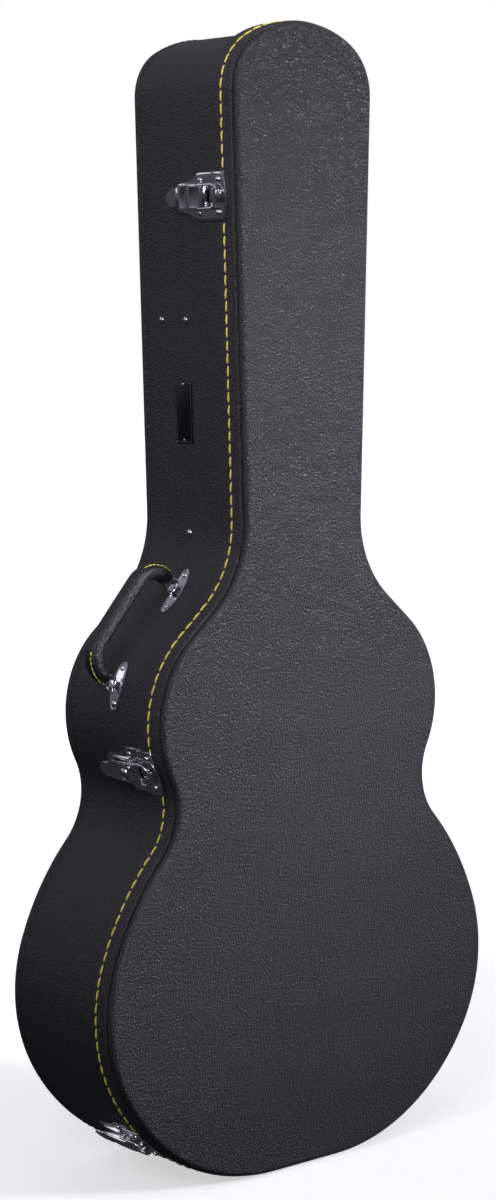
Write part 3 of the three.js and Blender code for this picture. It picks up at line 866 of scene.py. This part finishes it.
def side_pad():
    """Foam band round the guitar, full in the middle and tucked at both edges."""
    y0, y1 = span("body_side_pad", 1)
    outer, thick = -(WALL + GAP), 8.0
    count = 16
    face = []
    for i in range(count + 1):
        t = math.pi * i / count
        y = (y0 + y1) / 2 - (y1 - y0) / 2 * math.cos(t)
        full = math.sin(t) ** 0.28 if 0 < i < count else 0.0
        face.append((y, outer - 2.0 - (thick - 2.0) * full))
    section = [(y0, outer), *face, (y1, outer)]
    pad = object_from("side_pad", hoop(section, BODY_INSET), PLUSH, sharp=60)
    stand_for(pad, "plush", "body_side_pad")


def neck_rest():
    """Padded block with a hollow for the neck."""
    (x0, x1), (y0, y1), (z0, z1) = (span("neck_cradle", axis) for axis in range(3))
    soft = 1.5
    notch = 31 + soft
    floor = y0 + 38 + soft
    hollow = arc(0, floor - 20, notch, 0, 180, 16, 20)
    outline = [(x1 - soft, y1), (x1 - soft, y0 + soft), (notch, y0 + soft), *hollow,
               (-notch, y0 + soft), (x0 + soft, y0 + soft), (x0 + soft, y1)]
    block = prism(outline, z0 + soft, z1 - 0.4, 2.0, 3, both=True)
    soft_pad("neck_rest", block, "neck_cradle", 3.0, 2.5)


def tongue():
    """Lip that the lid drops over, covered in the lining and rounded on top."""
    y0, y1 = span("body_tongue", 1)
    outer, half = -(WALL + GAP), 1.25
    top = arc(y0 + half, outer - half, half, 90, 270, 10)
    section = [(y1, outer), *top, (y1, outer - 2 * half)]
    lip = object_from("tongue", hoop(section, BODY_INSET), PLUSH)
    stand_for(lip, "plush", "body_tongue")


def compartment():
    for node in ("compartment_end_lower", "compartment_end_upper"):
        low, high = (Vector(v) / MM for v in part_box(node))
        board = object_from(f"{node}_board", rounded_box(low, high, 1.8, 4), PLUSH)
        stand_for(board, "plush", node)
    low, high = (Vector(v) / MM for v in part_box("compartment_lid"))
    cover = rounded_box(low, high, 1.6, 4)
    lip = 1.1
    edge = [
        (low.x + 2.5, high.y - 2.4, low.z + 2.5), (high.x - 2.5, high.y - 2.4, low.z + 2.5),
        (high.x - 2.5, high.y - 2.4, high.z - 2.5), (low.x + 2.5, high.y - 2.4, high.z - 2.5),
    ]
    piping = []
    for i in range(4):
        a, b = Vector(edge[i]), Vector(edge[(i + 1) % 4])
        piping += [a.lerp(b, 0.04 + 0.92 * k / 12) for k in range(13)]
    front = low.y + 0.35
    band = sweep([(p.x, front + 0.3, p.z) for p in piping], circle(lip, 10), closed=True)
    board = object_from("compartment_cover", merged(cover, band), PLUSH)
    stand_for(board, "plush", "compartment_lid")
    ribbon_pull()


def ribbon_pull():
    """Short ribbon folded into a loop."""
    (x0, x1), (y0, y1), (z0, z1) = (span("compartment_pull", axis) for axis in range(3))
    deep = (y1 - y0) / 2 - 0.25
    middle = (y0 + y1) / 2
    path = [(x, y1 - 0.25) for x in np.linspace(x1, x0 + 1.6, 10)]
    path += arc(x0 + 1.6, middle, deep * 1.6, 90, 270, 10, deep)[1:-1]
    path += [(x, y0 + 0.25) for x in np.linspace(x0 + 1.6, x1, 10)]
    half = (z1 - z0) / 2
    section = [(-0.22, -half), (0.22, -half), (0.22, half), (-0.22, half)]
    points = [(x, y, (z0 + z1) / 2) for x, y in path]
    pull = object_from("ribbon_pull", sweep(points, section, up=(0, 0, 1)), RIBBON)
    stand_for(pull, "ribbon", "compartment_pull")


# ---- Hardware on the left wall ----
LATCHES = {"top": 1172, "middle": 594, "bottom": 193}
LATCH_HALF = 23
LATCH_FRONT = -24.5
LATCH_END = 55
SHEET = 1.4
LEVER_PIVOT = (5, 6)
BAIL_PIVOT = (12, 6)
LEVER_HALF = 9.6
LEVER_TOP = 10.5
LOCK_Y = 20


def wall_matrix(along, y=Y_JOINT):
    _, _, _, nz = outline_at(along, -1)
    return surface_matrix(along, y, -1, -float(body_inset(nz)))


def wrapped(bm, along, y=Y_JOINT, on_lid=False):
    """Bends a flat part, drawn in a wall frame, round the wall that it lies on."""
    slices = 4.0
    reach = max(abs(v.co.x) for v in bm.verts)
    cut = -reach + slices
    while cut < reach:
        bmesh.ops.bisect_plane(bm, geom=bm.verts[:] + bm.edges[:] + bm.faces[:],
                               plane_co=(cut, 0, 0), plane_no=(1, 0, 0))
        cut += slices
    for v in bm.verts:
        x, z, nx, nz = outline_at(along + v.co.x, -1)
        out = v.co.z - (0 if on_lid else float(body_inset(nz)))
        v.co = (x + nx * out, y + v.co.y, z + nz * out)
    return bm


def rivet(radius, height):
    """Domed head on a thin flange."""
    dome = arc(0, 0.28 * height, radius, 0, 90, 7, 0.72 * height)
    return lathe([(0, 0), (radius, 0), (radius, height * 0.12), *dome], 24)


def cross_bar(x_half, y, z, radius):
    """Rounded rib across a plate."""
    return side_prism(arc(y, z, radius, 0, 180, 10), -x_half, x_half, 0.12, 1)


def base_plate(along):
    low = 0.9
    right = [(LATCH_HALF - 0.8, low), (LATCH_HALF, low + 0.8), (LATCH_HALF, 21.5),
             (LATCH_HALF - 0.7, 23.6), (LATCH_HALF - 2.6, 25.3), (18.4, 27.2), (16.8, 30.5),
             (15.4, 36), (14.6, 42), (13.4, 51.5), (12.2, 54), (9.8, LATCH_END)]
    outline = right + [(-x, y) for x, y in reversed(right)]
    plate = prism(outline, GAP, GAP + SHEET, 0.65, 3)
    ribs = cross_bar(LATCH_HALF - 1.4, low + 2.0, GAP + SHEET - 0.15, 1.6)
    flat = wrapped(merged(plate, ribs), along)
    y, z = LEVER_PIVOT
    ear = [(1.6, 1), (9.4, 1), (8, z + 1), *arc(y, z, 2.6, 17, 163, 10)]
    rail = [(18, 1.2), (45, 1.2), (44.2, 3.2), (41, 4.4), (22, 4.8), (19.2, 4.0)]
    cheeks = [side_prism(ear, x0, x0 + 1.6, 0.3) for x0 in (5.9, -7.5)]
    rails = [side_prism(rail, x0, x0 + 1.5, 0.4) for x0 in (10.4, -11.9)]
    return merged(flat, placed(merged(*cheeks, *rails), wall_matrix(along)))


def catch_plate(along):
    back = -0.9
    side = LATCH_HALF
    curve = []
    for i in range(21):
        t = i / 20
        x = -side + 2 * side * t
        bow = 1 - (x / side) ** 2
        curve.append((x, LATCH_FRONT + 5 - 5 * bow))
    outline = [(side, back), (-side, back), *curve]
    plate = prism(outline, GAP, GAP + SHEET, 0.7, 3)
    bead_path = [(x * 0.955, y + 1.9) for x, y in curve]
    bead = sweep([(x, y, GAP + SHEET - 0.1) for x, y in bead_path], circle(0.75, 8), up=(0, 0, 1))
    hook = [(-8.2, 1.2), (-8.2, 2.6), (-9.2, 3.6), (-11.2, 4.2), (-13.4, 4.2), (-14.5, 3.6),
            (-14.5, 2.9), (-12.6, 2.7), (-11.6, 2.2), (-11.4, 1.2)]
    keeper = side_prism(hook, -6, 6, 0.35, 2)
    return wrapped(merged(plate, bead, keeper), along, on_lid=True)


def lever(locking):
    """Folded steel lever with two cross ribs, a boxed end and a round finger tab."""
    y, z = LEVER_PIVOT
    top = LEVER_TOP
    spine = [(y - 1.2, top - 1.9), (y + 0.4, top - 0.7), (y + 2.6, top - 0.35), (y + 3.5, top),
             (y + 4.8, top), (y + 5.7, top - 0.5), (26, top - 0.5), (26.8, top - 0.05),
             (28.2, top), (29.2, top - 0.45), (40.6, top - 1.25), (42.2, top - 0.2),
             (43.2, top), (46.2, top), (47, top - 0.4)]
    under = [(b, c - 1.35) for b, c in reversed(spine)]
    roof = side_prism([*spine, *under], -LEVER_HALF, LEVER_HALF, 0.5, 2)
    flange = [(y - 1, top - 1.6), *arc(y, z, 3.2, 135, 270, 8), (y + 18, z - 2), (41, z + 1.2),
              (46.6, top - 2.2), (46.6, top - 0.9), (40.6, top - 1.7), (y + 4, top - 0.9)]
    sides = [side_prism(flange, x0, x0 + 1.4, 0.35) for x0 in (-LEVER_HALF, LEVER_HALF - 1.4)]
    tab = [(8.3, 46), *arc(0, 52, 8.3, 0, 180, 24), (-8.3, 46)]
    finger = prism(tab, top - 1.4, top - 0.1, 0.6, 3, both=True)
    pin = lathe([(0, -9.2), (1.25, -9.2), (1.25, 9.2), (0, 9.2)], 16)
    pin = placed(pin, Matrix.Translation((0, y, z)) @ ALONG_X)
    studs = []
    for side in (-1, 1):
        x0 = side * (LEVER_HALF - 0.5)
        x1 = side * (LEVER_HALF + 2.9)
        ends = sorted((x0, x1))
        profile = [(0, ends[0]), (1.3, ends[0]), (1.3, ends[1]), (0, ends[1])]
        studs.append(placed(lathe(profile, 16), Matrix.Translation((0, *BAIL_PIVOT)) @ ALONG_X))
    parts = [roof, *sides, finger, pin, *studs]
    if locking:
        parts.append(lock_box(top))
    return merged(*parts)


def lock_box(top):
    """Raised housing round the lock, open in the middle like a short tube."""
    outer = rounded_outline(9.0, 11.0, 2.0, 0, LOCK_Y)
    shell = prism(outer, top - 0.4, top + 1.8, 0.9, 3)
    collar = lathe([(4.75, 1.2), (6.1, 1.2), (6.1, 2.9), (5.7, 3.3), (5.0, 3.3), (4.75, 3.0),
                    (4.75, 1.2)], 32)
    return merged(shell, moved(collar, 0, LOCK_Y, top - 0.1))


def rounded_outline(half_x, half_y, radius, cx=0.0, cy=0.0):
    corners = [(1, 1, 0), (-1, 1, 90), (-1, -1, 180), (1, -1, 270)]
    points = []
    for sx, sy, start in corners:
        points += arc(cx + sx * (half_x - radius), cy + sy * (half_y - radius), radius,
                      start, start + 90, 6)
    return points


def lock_barrel():
    disc = lathe([(0, 0), (4.4, 0), (4.4, 0.9), (4.1, 1.2), (2.2, 1.25), (0, 1.25)], 32)
    return moved(disc, 0, LOCK_Y, LEVER_TOP + 1.9)


def keyhole():
    """Slot and round of the keyhole, as a thin near-black inlay: painted shade standing in for the
    hole.
    """
    round_part = arc(0, 0.9, 1.25, -60, 240, 16)
    outline = [(0.62, -2.6), *round_part, (-0.62, -2.6)]
    return moved(prism(outline, 0, 0.08), 0, LOCK_Y, LEVER_TOP + 3.12)


def bail():
    """Loop round the front of the lever, with a turned-down bar over the keeper."""
    y, z = BAIL_PIVOT
    reach = LEVER_HALF + 1.5
    front = -4
    height = z + 2.6
    path = [(reach, yy, height) for yy in (y + 1.5, y - 3, y - 7, y - 11, front + 3)]
    path += [(px, py, height) for px, py in arc(0, front, reach, 0, -180, 20)]
    path += [(-reach, yy, height) for yy in (front + 3, y - 11, y - 7, y - 3, y + 1.5)]
    loop = sweep(path, oval(1.05, 0.9, 14, 0.6, 0.6), up=(0, 0, 1))
    arm = [(y - 3, z - 0.6), *arc(y, z, 2.9, 200, 340, 8), (y + 3, z - 0.6), (y + 2.6, z + 3.2),
           (y - 3, z + 3.2)]
    arms = [side_prism(arm, x0, x0 + 1.7, 0.35) for x0 in (LEVER_HALF + 0.7, -LEVER_HALF - 2.4)]
    nose = front - reach
    lip = [(nose + 1.4, height + 1.0), (nose - 1.8, height + 1.0), (nose - 3.2, height + 0.2),
           (nose - 3.6, height - 1.6), (nose - 3.4, height - 3.0), (nose - 2.5, height - 3.0),
           (nose - 2.3, height - 1.4), (nose - 1.4, height - 0.8), (nose + 1.4, height - 0.8)]
    bar = side_prism(lip, -5, 5, 0.35, 2)
    return merged(loop, bar, *arms)


def latches():
    for word, along in LATCHES.items():
        node = f"latch_{word}"
        here = wall_matrix(along)
        locking = word == "middle"
        chrome(f"{node}_plate", base_plate(along), f"{node}_base")
        chrome(f"{node}_keeper", catch_plate(along), f"{node}_catch")
        chrome(f"{node}_handle", lever(locking), f"{node}_lever", here)
        chrome(f"{node}_loop", bail(), f"{node}_bail", here)
        if locking:
            chrome("lock_disc", lock_barrel(), f"{node}_lock", here)
            trim(object_from("keyhole", keyhole(), HOLE_SHADE, here), f"{node}_lock")
        for end, u in (("upper", 15.5), ("lower", -15.5)):
            wall_rivet(f"{node}_rivet_{end}", along + u, Y_JOINT + 19, 3.0, 1.8, GAP + SHEET)
            wall_rivet(f"{node}_catch_rivet_{end}", along + u, Y_JOINT - 11.5, 3.0, 1.8,
                       GAP + SHEET, on_lid=True)


def wall_rivet(node, along, y, radius, height, stand, on_lid=False):
    _, _, _, nz = outline_at(along, -1)
    lift = stand - (0 if on_lid else float(body_inset(nz)))
    chrome(f"{node}_head", rivet(radius, height), node, surface_matrix(along, y, -1, lift))


# ---- Handle ----
HANDLE_ALONG = {"lower": 675, "upper": 789}
HANDLE_Y = -2
BAR_RISE = 5.2
LOOP_HALF = 8.6
GRIP_END = 13.5
GRIP_OUT = 50
GRIP_THICK = 15.5
GRIP_WIDE = 20
GRIP_CORNER = 31
GRIP_PAST = 10
BRACKET_SHEET = 1.5


def bar_centre(along):
    x, z, nx, nz = outline_at(along, -1)
    by = BAR_RISE - float(body_inset(nz))
    return Vector((x + nx * by, HANDLE_Y, z + nz * by))


BAR_LOW = bar_centre(HANDLE_ALONG["lower"])
BAR_HIGH = bar_centre(HANDLE_ALONG["upper"])
CHORD = BAR_HIGH - BAR_LOW
CHORD_UP = CHORD.normalized()
CHORD_OUT = CHORD_UP.cross(DEEP)
BAR_AT = CHORD.length / 2
HANDLE = frame_matrix(CHORD_UP, DEEP, CHORD_OUT, BAR_LOW + CHORD / 2)


def grip_path(offset=0.0):
    """The middle line of the grip, or a line that far outside it, from end to end."""
    outer = BAR_AT + GRIP_PAST
    bend = GRIP_CORNER - GRIP_THICK / 2
    x = outer - GRIP_CORNER
    z = GRIP_OUT - GRIP_CORNER
    straight = np.linspace(GRIP_END + 0.3, z, 6)[:-1]
    right = [(x + bend + offset, 0, h) for h in straight]
    right += [(a, 0, b) for a, b in arc(x, z, bend + offset, 0, 90, 14)]
    top = z + bend + offset
    across = [(u, 0, top) for u in np.linspace(x, -x, 16)[1:-1]]
    return right + across + [(-a, b, c) for a, b, c in reversed(right)]


def grip_section(share):
    """Full and round in the middle, narrower at both ends."""
    ends = min(share, 1 - share)
    full = min(1.0, ends / 0.085)
    full = full * full * (3 - 2 * full)
    palm = math.sin(math.pi * share) ** 2
    half_thick = (GRIP_THICK / 2 - 0.2) * (0.80 + 0.14 * full + 0.06 * palm)
    half_wide = (GRIP_WIDE / 2 - 0.3) * (0.82 + 0.12 * full + 0.06 * palm)
    return oval(half_thick, half_wide, 28, 0.8, 0.8)


def wire_loop(side, along):
    """Wire from the bracket's bar to both corners of the grip's end, with two ferrules."""
    grip_x = side * (BAR_AT + GRIP_PAST - GRIP_THICK / 2)
    x = side * BAR_AT
    _, _, nx, nz = outline_at(along, -1)
    tangent = Vector((nz, 0, -nx))
    across = LOOP_HALF * tangent.dot(CHORD_UP)
    rise = LOOP_HALF * tangent.dot(CHORD_OUT)
    half = LOOP_HALF - 1
    top = GRIP_END - GAP
    low, high = (x - across, -rise), (x + across, rise)
    corners = [(grip_x - half + 2, top - 2), low, high, (grip_x + half - 2, top - 2)]
    path = []
    for i in range(3):
        a, b = Vector(corners[i]), Vector(corners[i + 1])
        path += [a.lerp(b, k / 8) for k in range(8)]
    path.append(Vector(corners[3]))
    smooth = path[:]
    for _ in range(3):
        smooth = [smooth[0]] + [
            (smooth[i - 1] + smooth[i] * 2 + smooth[i + 1]) / 4 for i in range(1, len(smooth) - 1)
        ] + [smooth[-1]]
    bar = sweep([(p.x, 0, p.y) for p in smooth], circle(1.3, 12))
    ferrules = []
    for corner in (-1, 1):
        tube = lathe([(0, -5), (1.9, -5), (2.4, -4.4), (2.4, -0.6), (2.0, 0), (0, 0)], 20)
        ferrules.append(moved(tube, grip_x + corner * (half - 2), 0, top))
    return merged(bar, *ferrules)


def bracket(along):
    half, wide = 25, 7.5
    boat = oval(half, wide, 48, 0.85, 0.72)
    plate = prism(boat, GAP, GAP + BRACKET_SHEET, 0.7, 3)
    rim_path = [(x * 0.93, y * 0.86, GAP + BRACKET_SHEET) for x, y in boat]
    rim = sweep(rim_path, circle(0.55, 8), closed=True, up=(0, 0, 1))
    flat = wrapped(merged(plate, rim), along, HANDLE_Y)
    outer = [(-6, 1), (-5.7, 6.4), *arc(-3.4, 6.8, 2.3, 180, 90, 5), *arc(3.4, 6.8, 2.3, 90, 0, 5),
             (5.7, 6.4), (6, 1)]
    inner = [(4.4, 1), (4.2, 6.6), (3.4, 7.7), (-3.4, 7.7), (-4.2, 6.6), (-4.4, 1)]
    arch = side_prism([*outer, *inner], -3.6, 3.6, 0.35)
    return merged(flat, placed(arch, wall_matrix(along, HANDLE_Y)))


def handle():
    grip = object_from("handle_leather", sweep(grip_path(), grip_section), LEATHER, HANDLE, 60)
    subdivided(grip)
    stand_for(grip, "grip", "handle_grip")
    seam_line = grip_path(-GRIP_THICK / 2 + 0.7)
    seam = sweep(seam_line[3:-3], oval(1.0, 1.5, 10))
    seam = object_from("handle_seam", seam, LEATHER, HANDLE, 60)
    trim(seam, "handle_grip")
    handle_stitches()
    for word, side in (("lower", -1), ("upper", 1)):
        along = HANDLE_ALONG[word]
        loop = object_from(f"handle_wire_{word}", wire_loop(side, along), WIRE, HANDLE)
        stand_for(loop, "chrome", f"handle_loop_{word}")
        chrome(f"handle_plate_{word}", bracket(along), f"handle_bracket_{word}")
        for end, u in (("a", -18), ("b", 18)):
            wall_rivet(f"handle_screw_{word}_{end}", along + u, HANDLE_Y, 2.8, 1.6,
                       GAP + BRACKET_SHEET)


def handle_stitches():
    """Short rows of yellow thread on the outside of the grip, near both ends."""
    line = [Vector(p) for p in grip_path(GRIP_THICK / 2 - 0.9)]
    lengths = [0.0]
    for a, b in zip(line, line[1:]):
        lengths.append(lengths[-1] + (b - a).length)
    inset, count, pitch = 6.0, 7, 5.0
    mesh = stitch_mesh(4.2, 1.1)
    whole = bmesh.new()
    for first in (inset, lengths[-1] - (inset + (count - 1) * pitch)):
        for i in range(count):
            at = first + pitch * i
            k = max(j for j in range(len(lengths) - 1) if lengths[j] <= at)
            share = (at - lengths[k]) / (lengths[k + 1] - lengths[k])
            spot = line[k].lerp(line[k + 1], share)
            ahead = (line[k + 1] - line[k]).normalized()
            out = DEEP.cross(ahead).normalized()
            add_copy(whole, mesh, frame_matrix(ahead, out.cross(ahead), out, spot - DEEP * 4.5))
    trim(object_from("handle_stitching", whole, YELLOW, HANDLE, 60), "handle_grip")


# ---- Badge and compartment rivets ----
def badge():
    along, y, length, width = 966, 12.5, 60, 25
    here = wall_matrix(along, y)
    plate = prism(rounded_outline(length / 2, width / 2, 1.2), GAP, GAP + 0.95, 0.25, 2)
    pins = [moved(rivet(1.6, 0.9), side * 27, 0, GAP + 0.9) for side in (-1, 1)]
    stand_for(object_from("badge_plate", plate, PLATE, here), "badge", "badge")
    edge = rounded_outline(length / 2 - 1.3, width / 2 - 1.3, 1.0)
    line = [(x, yy, GAP + 0.95) for x, yy in edge]
    border = sweep(line, circle(0.3, 6), closed=True, up=(0, 0, 1))
    trim(object_from("badge_border", merged(border, *pins), CHROME, here), "badge")


def compartment_rivets():
    places = {"upper_back": (1055, 44), "upper_front": (1055, 6.5), "lower": (849, 8)}
    for word, (along, y) in places.items():
        wall_rivet(f"compartment_rivet_{word}", along, y, 3.6, 2.0, 0.2)


# ---- Hinges ----
HINGE_LENGTH = {"lower": 44, "upper": 34}
HINGE_AXIS = 3.1
ON_HINGE_AXIS = Matrix.Translation((0, 0, HINGE_AXIS)) @ ALONG_X
HINGE_LEAF = 22
HINGE_CLEAR = 3.6
BOUT_HEIGHTS = (0, 400)  # where the line of the hinges can touch the lower bout
HEAD_HEIGHTS = (900, 1120)  # and the head


def touch(lean, low, high):
    """Where a line that leans by an angle touches the right side between two heights."""
    best = (-math.inf, 0, 0)
    for along in np.arange(0, HALF_LENGTH, 0.5):
        x, z, _, _ = outline_at(along)
        reach = x * math.cos(lean) + z * math.sin(lean)
        if low < z < high and reach > best[0]:
            best = (reach, x, z)
    return best


def hinge_frames():
    low, high = 0.0, math.radians(25)
    for _ in range(24):
        middle = (low + high) / 2
        ahead = touch(middle, *HEAD_HEIGHTS)[0] - touch(middle, *BOUT_HEIGHTS)[0]
        low, high = (low, middle) if ahead > 0 else (middle, high)
    lean = (low + high) / 2
    out = Vector((math.cos(lean), 0, math.sin(lean)))
    down = Vector((math.sin(lean), 0, -math.cos(lean)))
    places = {"lower": touch(lean, *BOUT_HEIGHTS), "upper": touch(lean, *HEAD_HEIGHTS)}
    frames = {}
    for word, (_, x, z) in places.items():
        frames[word] = frame_matrix(down, DEEP, out, Vector((x, Y_JOINT, z)))
    return frames


def knuckle(x0, x1):
    """Rolled barrel round the pin."""
    profile = [(1.45, x0), (2.4, x0), (2.7, x0 + 0.3), (2.7, x1 - 0.3), (2.4, x1), (1.45, x1),
               (1.45, x0)]
    return placed(lathe(profile, 28), ON_HINGE_AXIS)


def leaf_plate(length, y0, y1, z):
    half_x, half_y = length / 2, abs(y1 - y0) / 2
    outline = rounded_outline(half_x, half_y, 2.2, 0, (y0 + y1) / 2)
    return prism(outline, z, z + SHEET, 0.35, 2)


def leaf_screws(length, y, z):
    return [moved(rivet(2.6, 1.1), u * length, y, z + SHEET) for u in (-0.32, 0.32)]


def hinges():
    for word, here in hinge_frames().items():
        length = HINGE_LENGTH[word]
        third = length / 6 - 0.4
        lid_flat = leaf_plate(length, -HINGE_LEAF, -HINGE_CLEAR, GAP)
        tongue_plate = rounded_box((-third, -HINGE_CLEAR - 1, GAP), (third, 0, GAP + SHEET), 0.2, 1)
        parts = [lid_flat, tongue_plate, knuckle(-third, third), *leaf_screws(length, -14, GAP)]
        chrome(f"hinge_{word}_lid_plate", merged(*parts), f"hinge_{word}_lid_leaf", here)
        down = GAP - STEP
        parts = [leaf_plate(length, HINGE_CLEAR, HINGE_LEAF, down), *leaf_screws(length, 14, down)]
        web = [(HINGE_CLEAR + 2, down), (HINGE_CLEAR + 2, down + SHEET),
               (HINGE_CLEAR + 0.8, down + SHEET), (1.4, HINGE_AXIS + 1.8), (0.8, HINGE_AXIS - 2.2),
               (HINGE_CLEAR - 0.6, down)]
        for x0, x1 in ((-length / 2, -length / 6), (length / 6, length / 2)):
            parts += [knuckle(x0, x1), side_prism(web, x0, x1, 0.15, 1)]
        chrome(f"hinge_{word}_body_plate", merged(*parts), f"hinge_{word}_body_leaf", here)
        end = length / 2 + GAP
        profile = [(0, -end - 1.2), (1.6, -end - 1.1), (2.2, -end - 0.6), (2.2, -end), (1.1, -end),
                   (1.1, end), (2.2, end), (2.2, end + 0.6), (1.6, end + 1.1), (0, end + 1.2)]
        axle = placed(lathe(profile, 24), ON_HINGE_AXIS)
        chrome(f"hinge_{word}_axle", axle, f"hinge_{word}_pin", here)


# ---- Studio ----
VIEW_TURN = 39.908  # degrees from +Y towards +X
VIEW_DIP = 6.563
VIEW_ROLL = 0.205
VIEW_LENS = 78.3
VIEW_OFFSET = Vector((0.054352, 0.562257, 2.606002))  # origin seen from the camera


def camera():
    turn, dip, roll = (math.radians(a) for a in (VIEW_TURN, VIEW_DIP, VIEW_ROLL))
    level = math.cos(dip)
    forward = Vector((math.sin(turn) * level, math.cos(turn) * level, -math.sin(dip)))
    right = Vector((math.cos(turn), -math.sin(turn), 0))
    down = forward.cross(right)
    across = right * math.cos(roll) + down * math.sin(roll)
    below = down * math.cos(roll) - right * math.sin(roll)
    origin = -(across * VIEW_OFFSET.x + below * VIEW_OFFSET.y + forward * VIEW_OFFSET.z)
    origin.y += Y_GROOVE * MM
    data = bpy.data.cameras.new("camera")
    data.lens = VIEW_LENS
    data.sensor_width = 36
    obj = scene_object("camera", data)
    obj.matrix_world = frame_matrix(across, -below, -forward, origin)
    bpy.context.scene.camera = obj


def softbox(name, place, target, width, height, radiance, tint=(1, 1, 1), spread=180):
    """An area light of an even brightness, whatever its size."""
    data = bpy.data.lights.new(name, "AREA")
    data.shape = "RECTANGLE"
    data.size = width
    data.size_y = height
    data.energy = math.pi * width * height * radiance
    data.color = tint
    data.spread = math.radians(spread)
    obj = scene_object(name, data)
    obj.location = place
    obj.rotation_euler = (Vector(target) - Vector(place)).to_track_quat("-Z", "Y").to_euler()


def world():
    """White to the camera, and to everything else a dim sky that is lighter overhead."""
    shade = bpy.data.worlds.new("studio")
    bpy.context.scene.world = shade
    shade.use_nodes = True
    tree = shade.node_tree
    tree.nodes.clear()
    kinds = ("TexCoord", "SeparateXYZ", "MapRange", "ValToRGB", "Background", "Background",
             "LightPath", "MixShader", "OutputWorld")
    place, split, height, ramp, dim, white, path, mix, output = (
        tree.nodes.new(f"ShaderNode{kind}") for kind in kinds
    )
    height.inputs["From Min"].default_value = -1
    stops = ramp.color_ramp.elements
    stops[0].position, stops[0].color = 0.46, (0.03, 0.03, 0.034, 1)
    stops[1].position, stops[1].color = 0.70, (0.24, 0.24, 0.27, 1)
    white.inputs["Color"].default_value = (1, 1, 1, 1)
    for source, target in (
        (place.outputs["Generated"], split.inputs[0]),
        (split.outputs["Z"], height.inputs["Value"]),
        (height.outputs["Result"], ramp.inputs["Fac"]),
        (ramp.outputs["Color"], dim.inputs["Color"]),
        (path.outputs["Is Camera Ray"], mix.inputs[0]),
        (dim.outputs[0], mix.inputs[1]),
        (white.outputs[0], mix.inputs[2]),
        (mix.outputs[0], output.inputs["Surface"]),
    ):
        tree.links.new(source, target)


def floor():
    """Pale round floor that brightens into the white surroundings."""
    radius = 14.0
    bm = bmesh.new()
    bmesh.ops.create_circle(bm, cap_ends=True, cap_tris=False, segments=96, radius=radius)
    mesh = bpy.data.meshes.new("floor")
    bm.to_mesh(mesh)
    bm.free()
    n = Nodes("floor_paper")
    far = n.add("ShaderNodeVectorMath", {0: n.place}, operation="LENGTH").outputs["Value"]
    glow = n.remap(far, 0.3, 2.2, 0.56, 1.0)
    paper = n.noise(9.0, 4.0, 0.6)
    n.done(Base_Color=n.blend(paper, (0.80, 0.80, 0.80), (0.84, 0.84, 0.84)), Roughness=0.85,
           Specular_IOR_Level=0.1, Emission_Color=(1, 1, 1, 1), Emission_Strength=glow)
    mesh.materials.append(n.material)
    ground = scene_object("floor", mesh)
    ground.location.z = -0.0006
    ground.visible_glossy = False
    ground.visible_diffuse = False


def studio():
    bpy.context.scene.view_settings.view_transform = "Standard"
    camera()
    world()
    floor()
    middle = (0, 0, 0.62)
    softbox("key", (2.3, -2.9, 2.0), (0, 0, 0.61), 1.2, 1.0, 1.35, (0.97, 0.95, 1.03), 22)
    softbox("top", (-0.4, -0.5, 3.2), middle, 1.6, 1.6, 0.6, (0.97, 0.95, 1.03))
    softbox("front_left", (-2.1, -1.7, 2.3), (0, 0, 1.0), 0.7, 0.9, 1.0, (0.96, 0.94, 1.0), 40)
    softbox("strip", (-2.6, -0.75, 1.9), (0, 0, 1.1), 0.2, 1.2, 3.8, (0.90, 0.86, 1.0), 62)
    softbox("fill", (-2.3, 2.6, 2.2), (0, 0, 0.95), 1.3, 1.5, 0.2, spread=80)


body_wall()
body_back()
lid_rim()
lid_panel()
stitch_line(
    "lid_stitching", "lid_rim_left", STITCH_Y, pitch=12.3, length=10.4, thick=2.0, slant=4.0,
    material=YELLOW, inset_share=0, lift=-0.15,
)
stitch_line(
    "back_stitching", "body_back_panel", BACK_STITCH_Y, pitch=9.0, length=6.4, thick=1.0,
    slant=3.0, material=BLACK_THREAD, inset_share=1, lift=0.45,
)
padding()
tongue()
compartment()
latches()
handle()
badge()
compartment_rivets()
hinges()
studio()
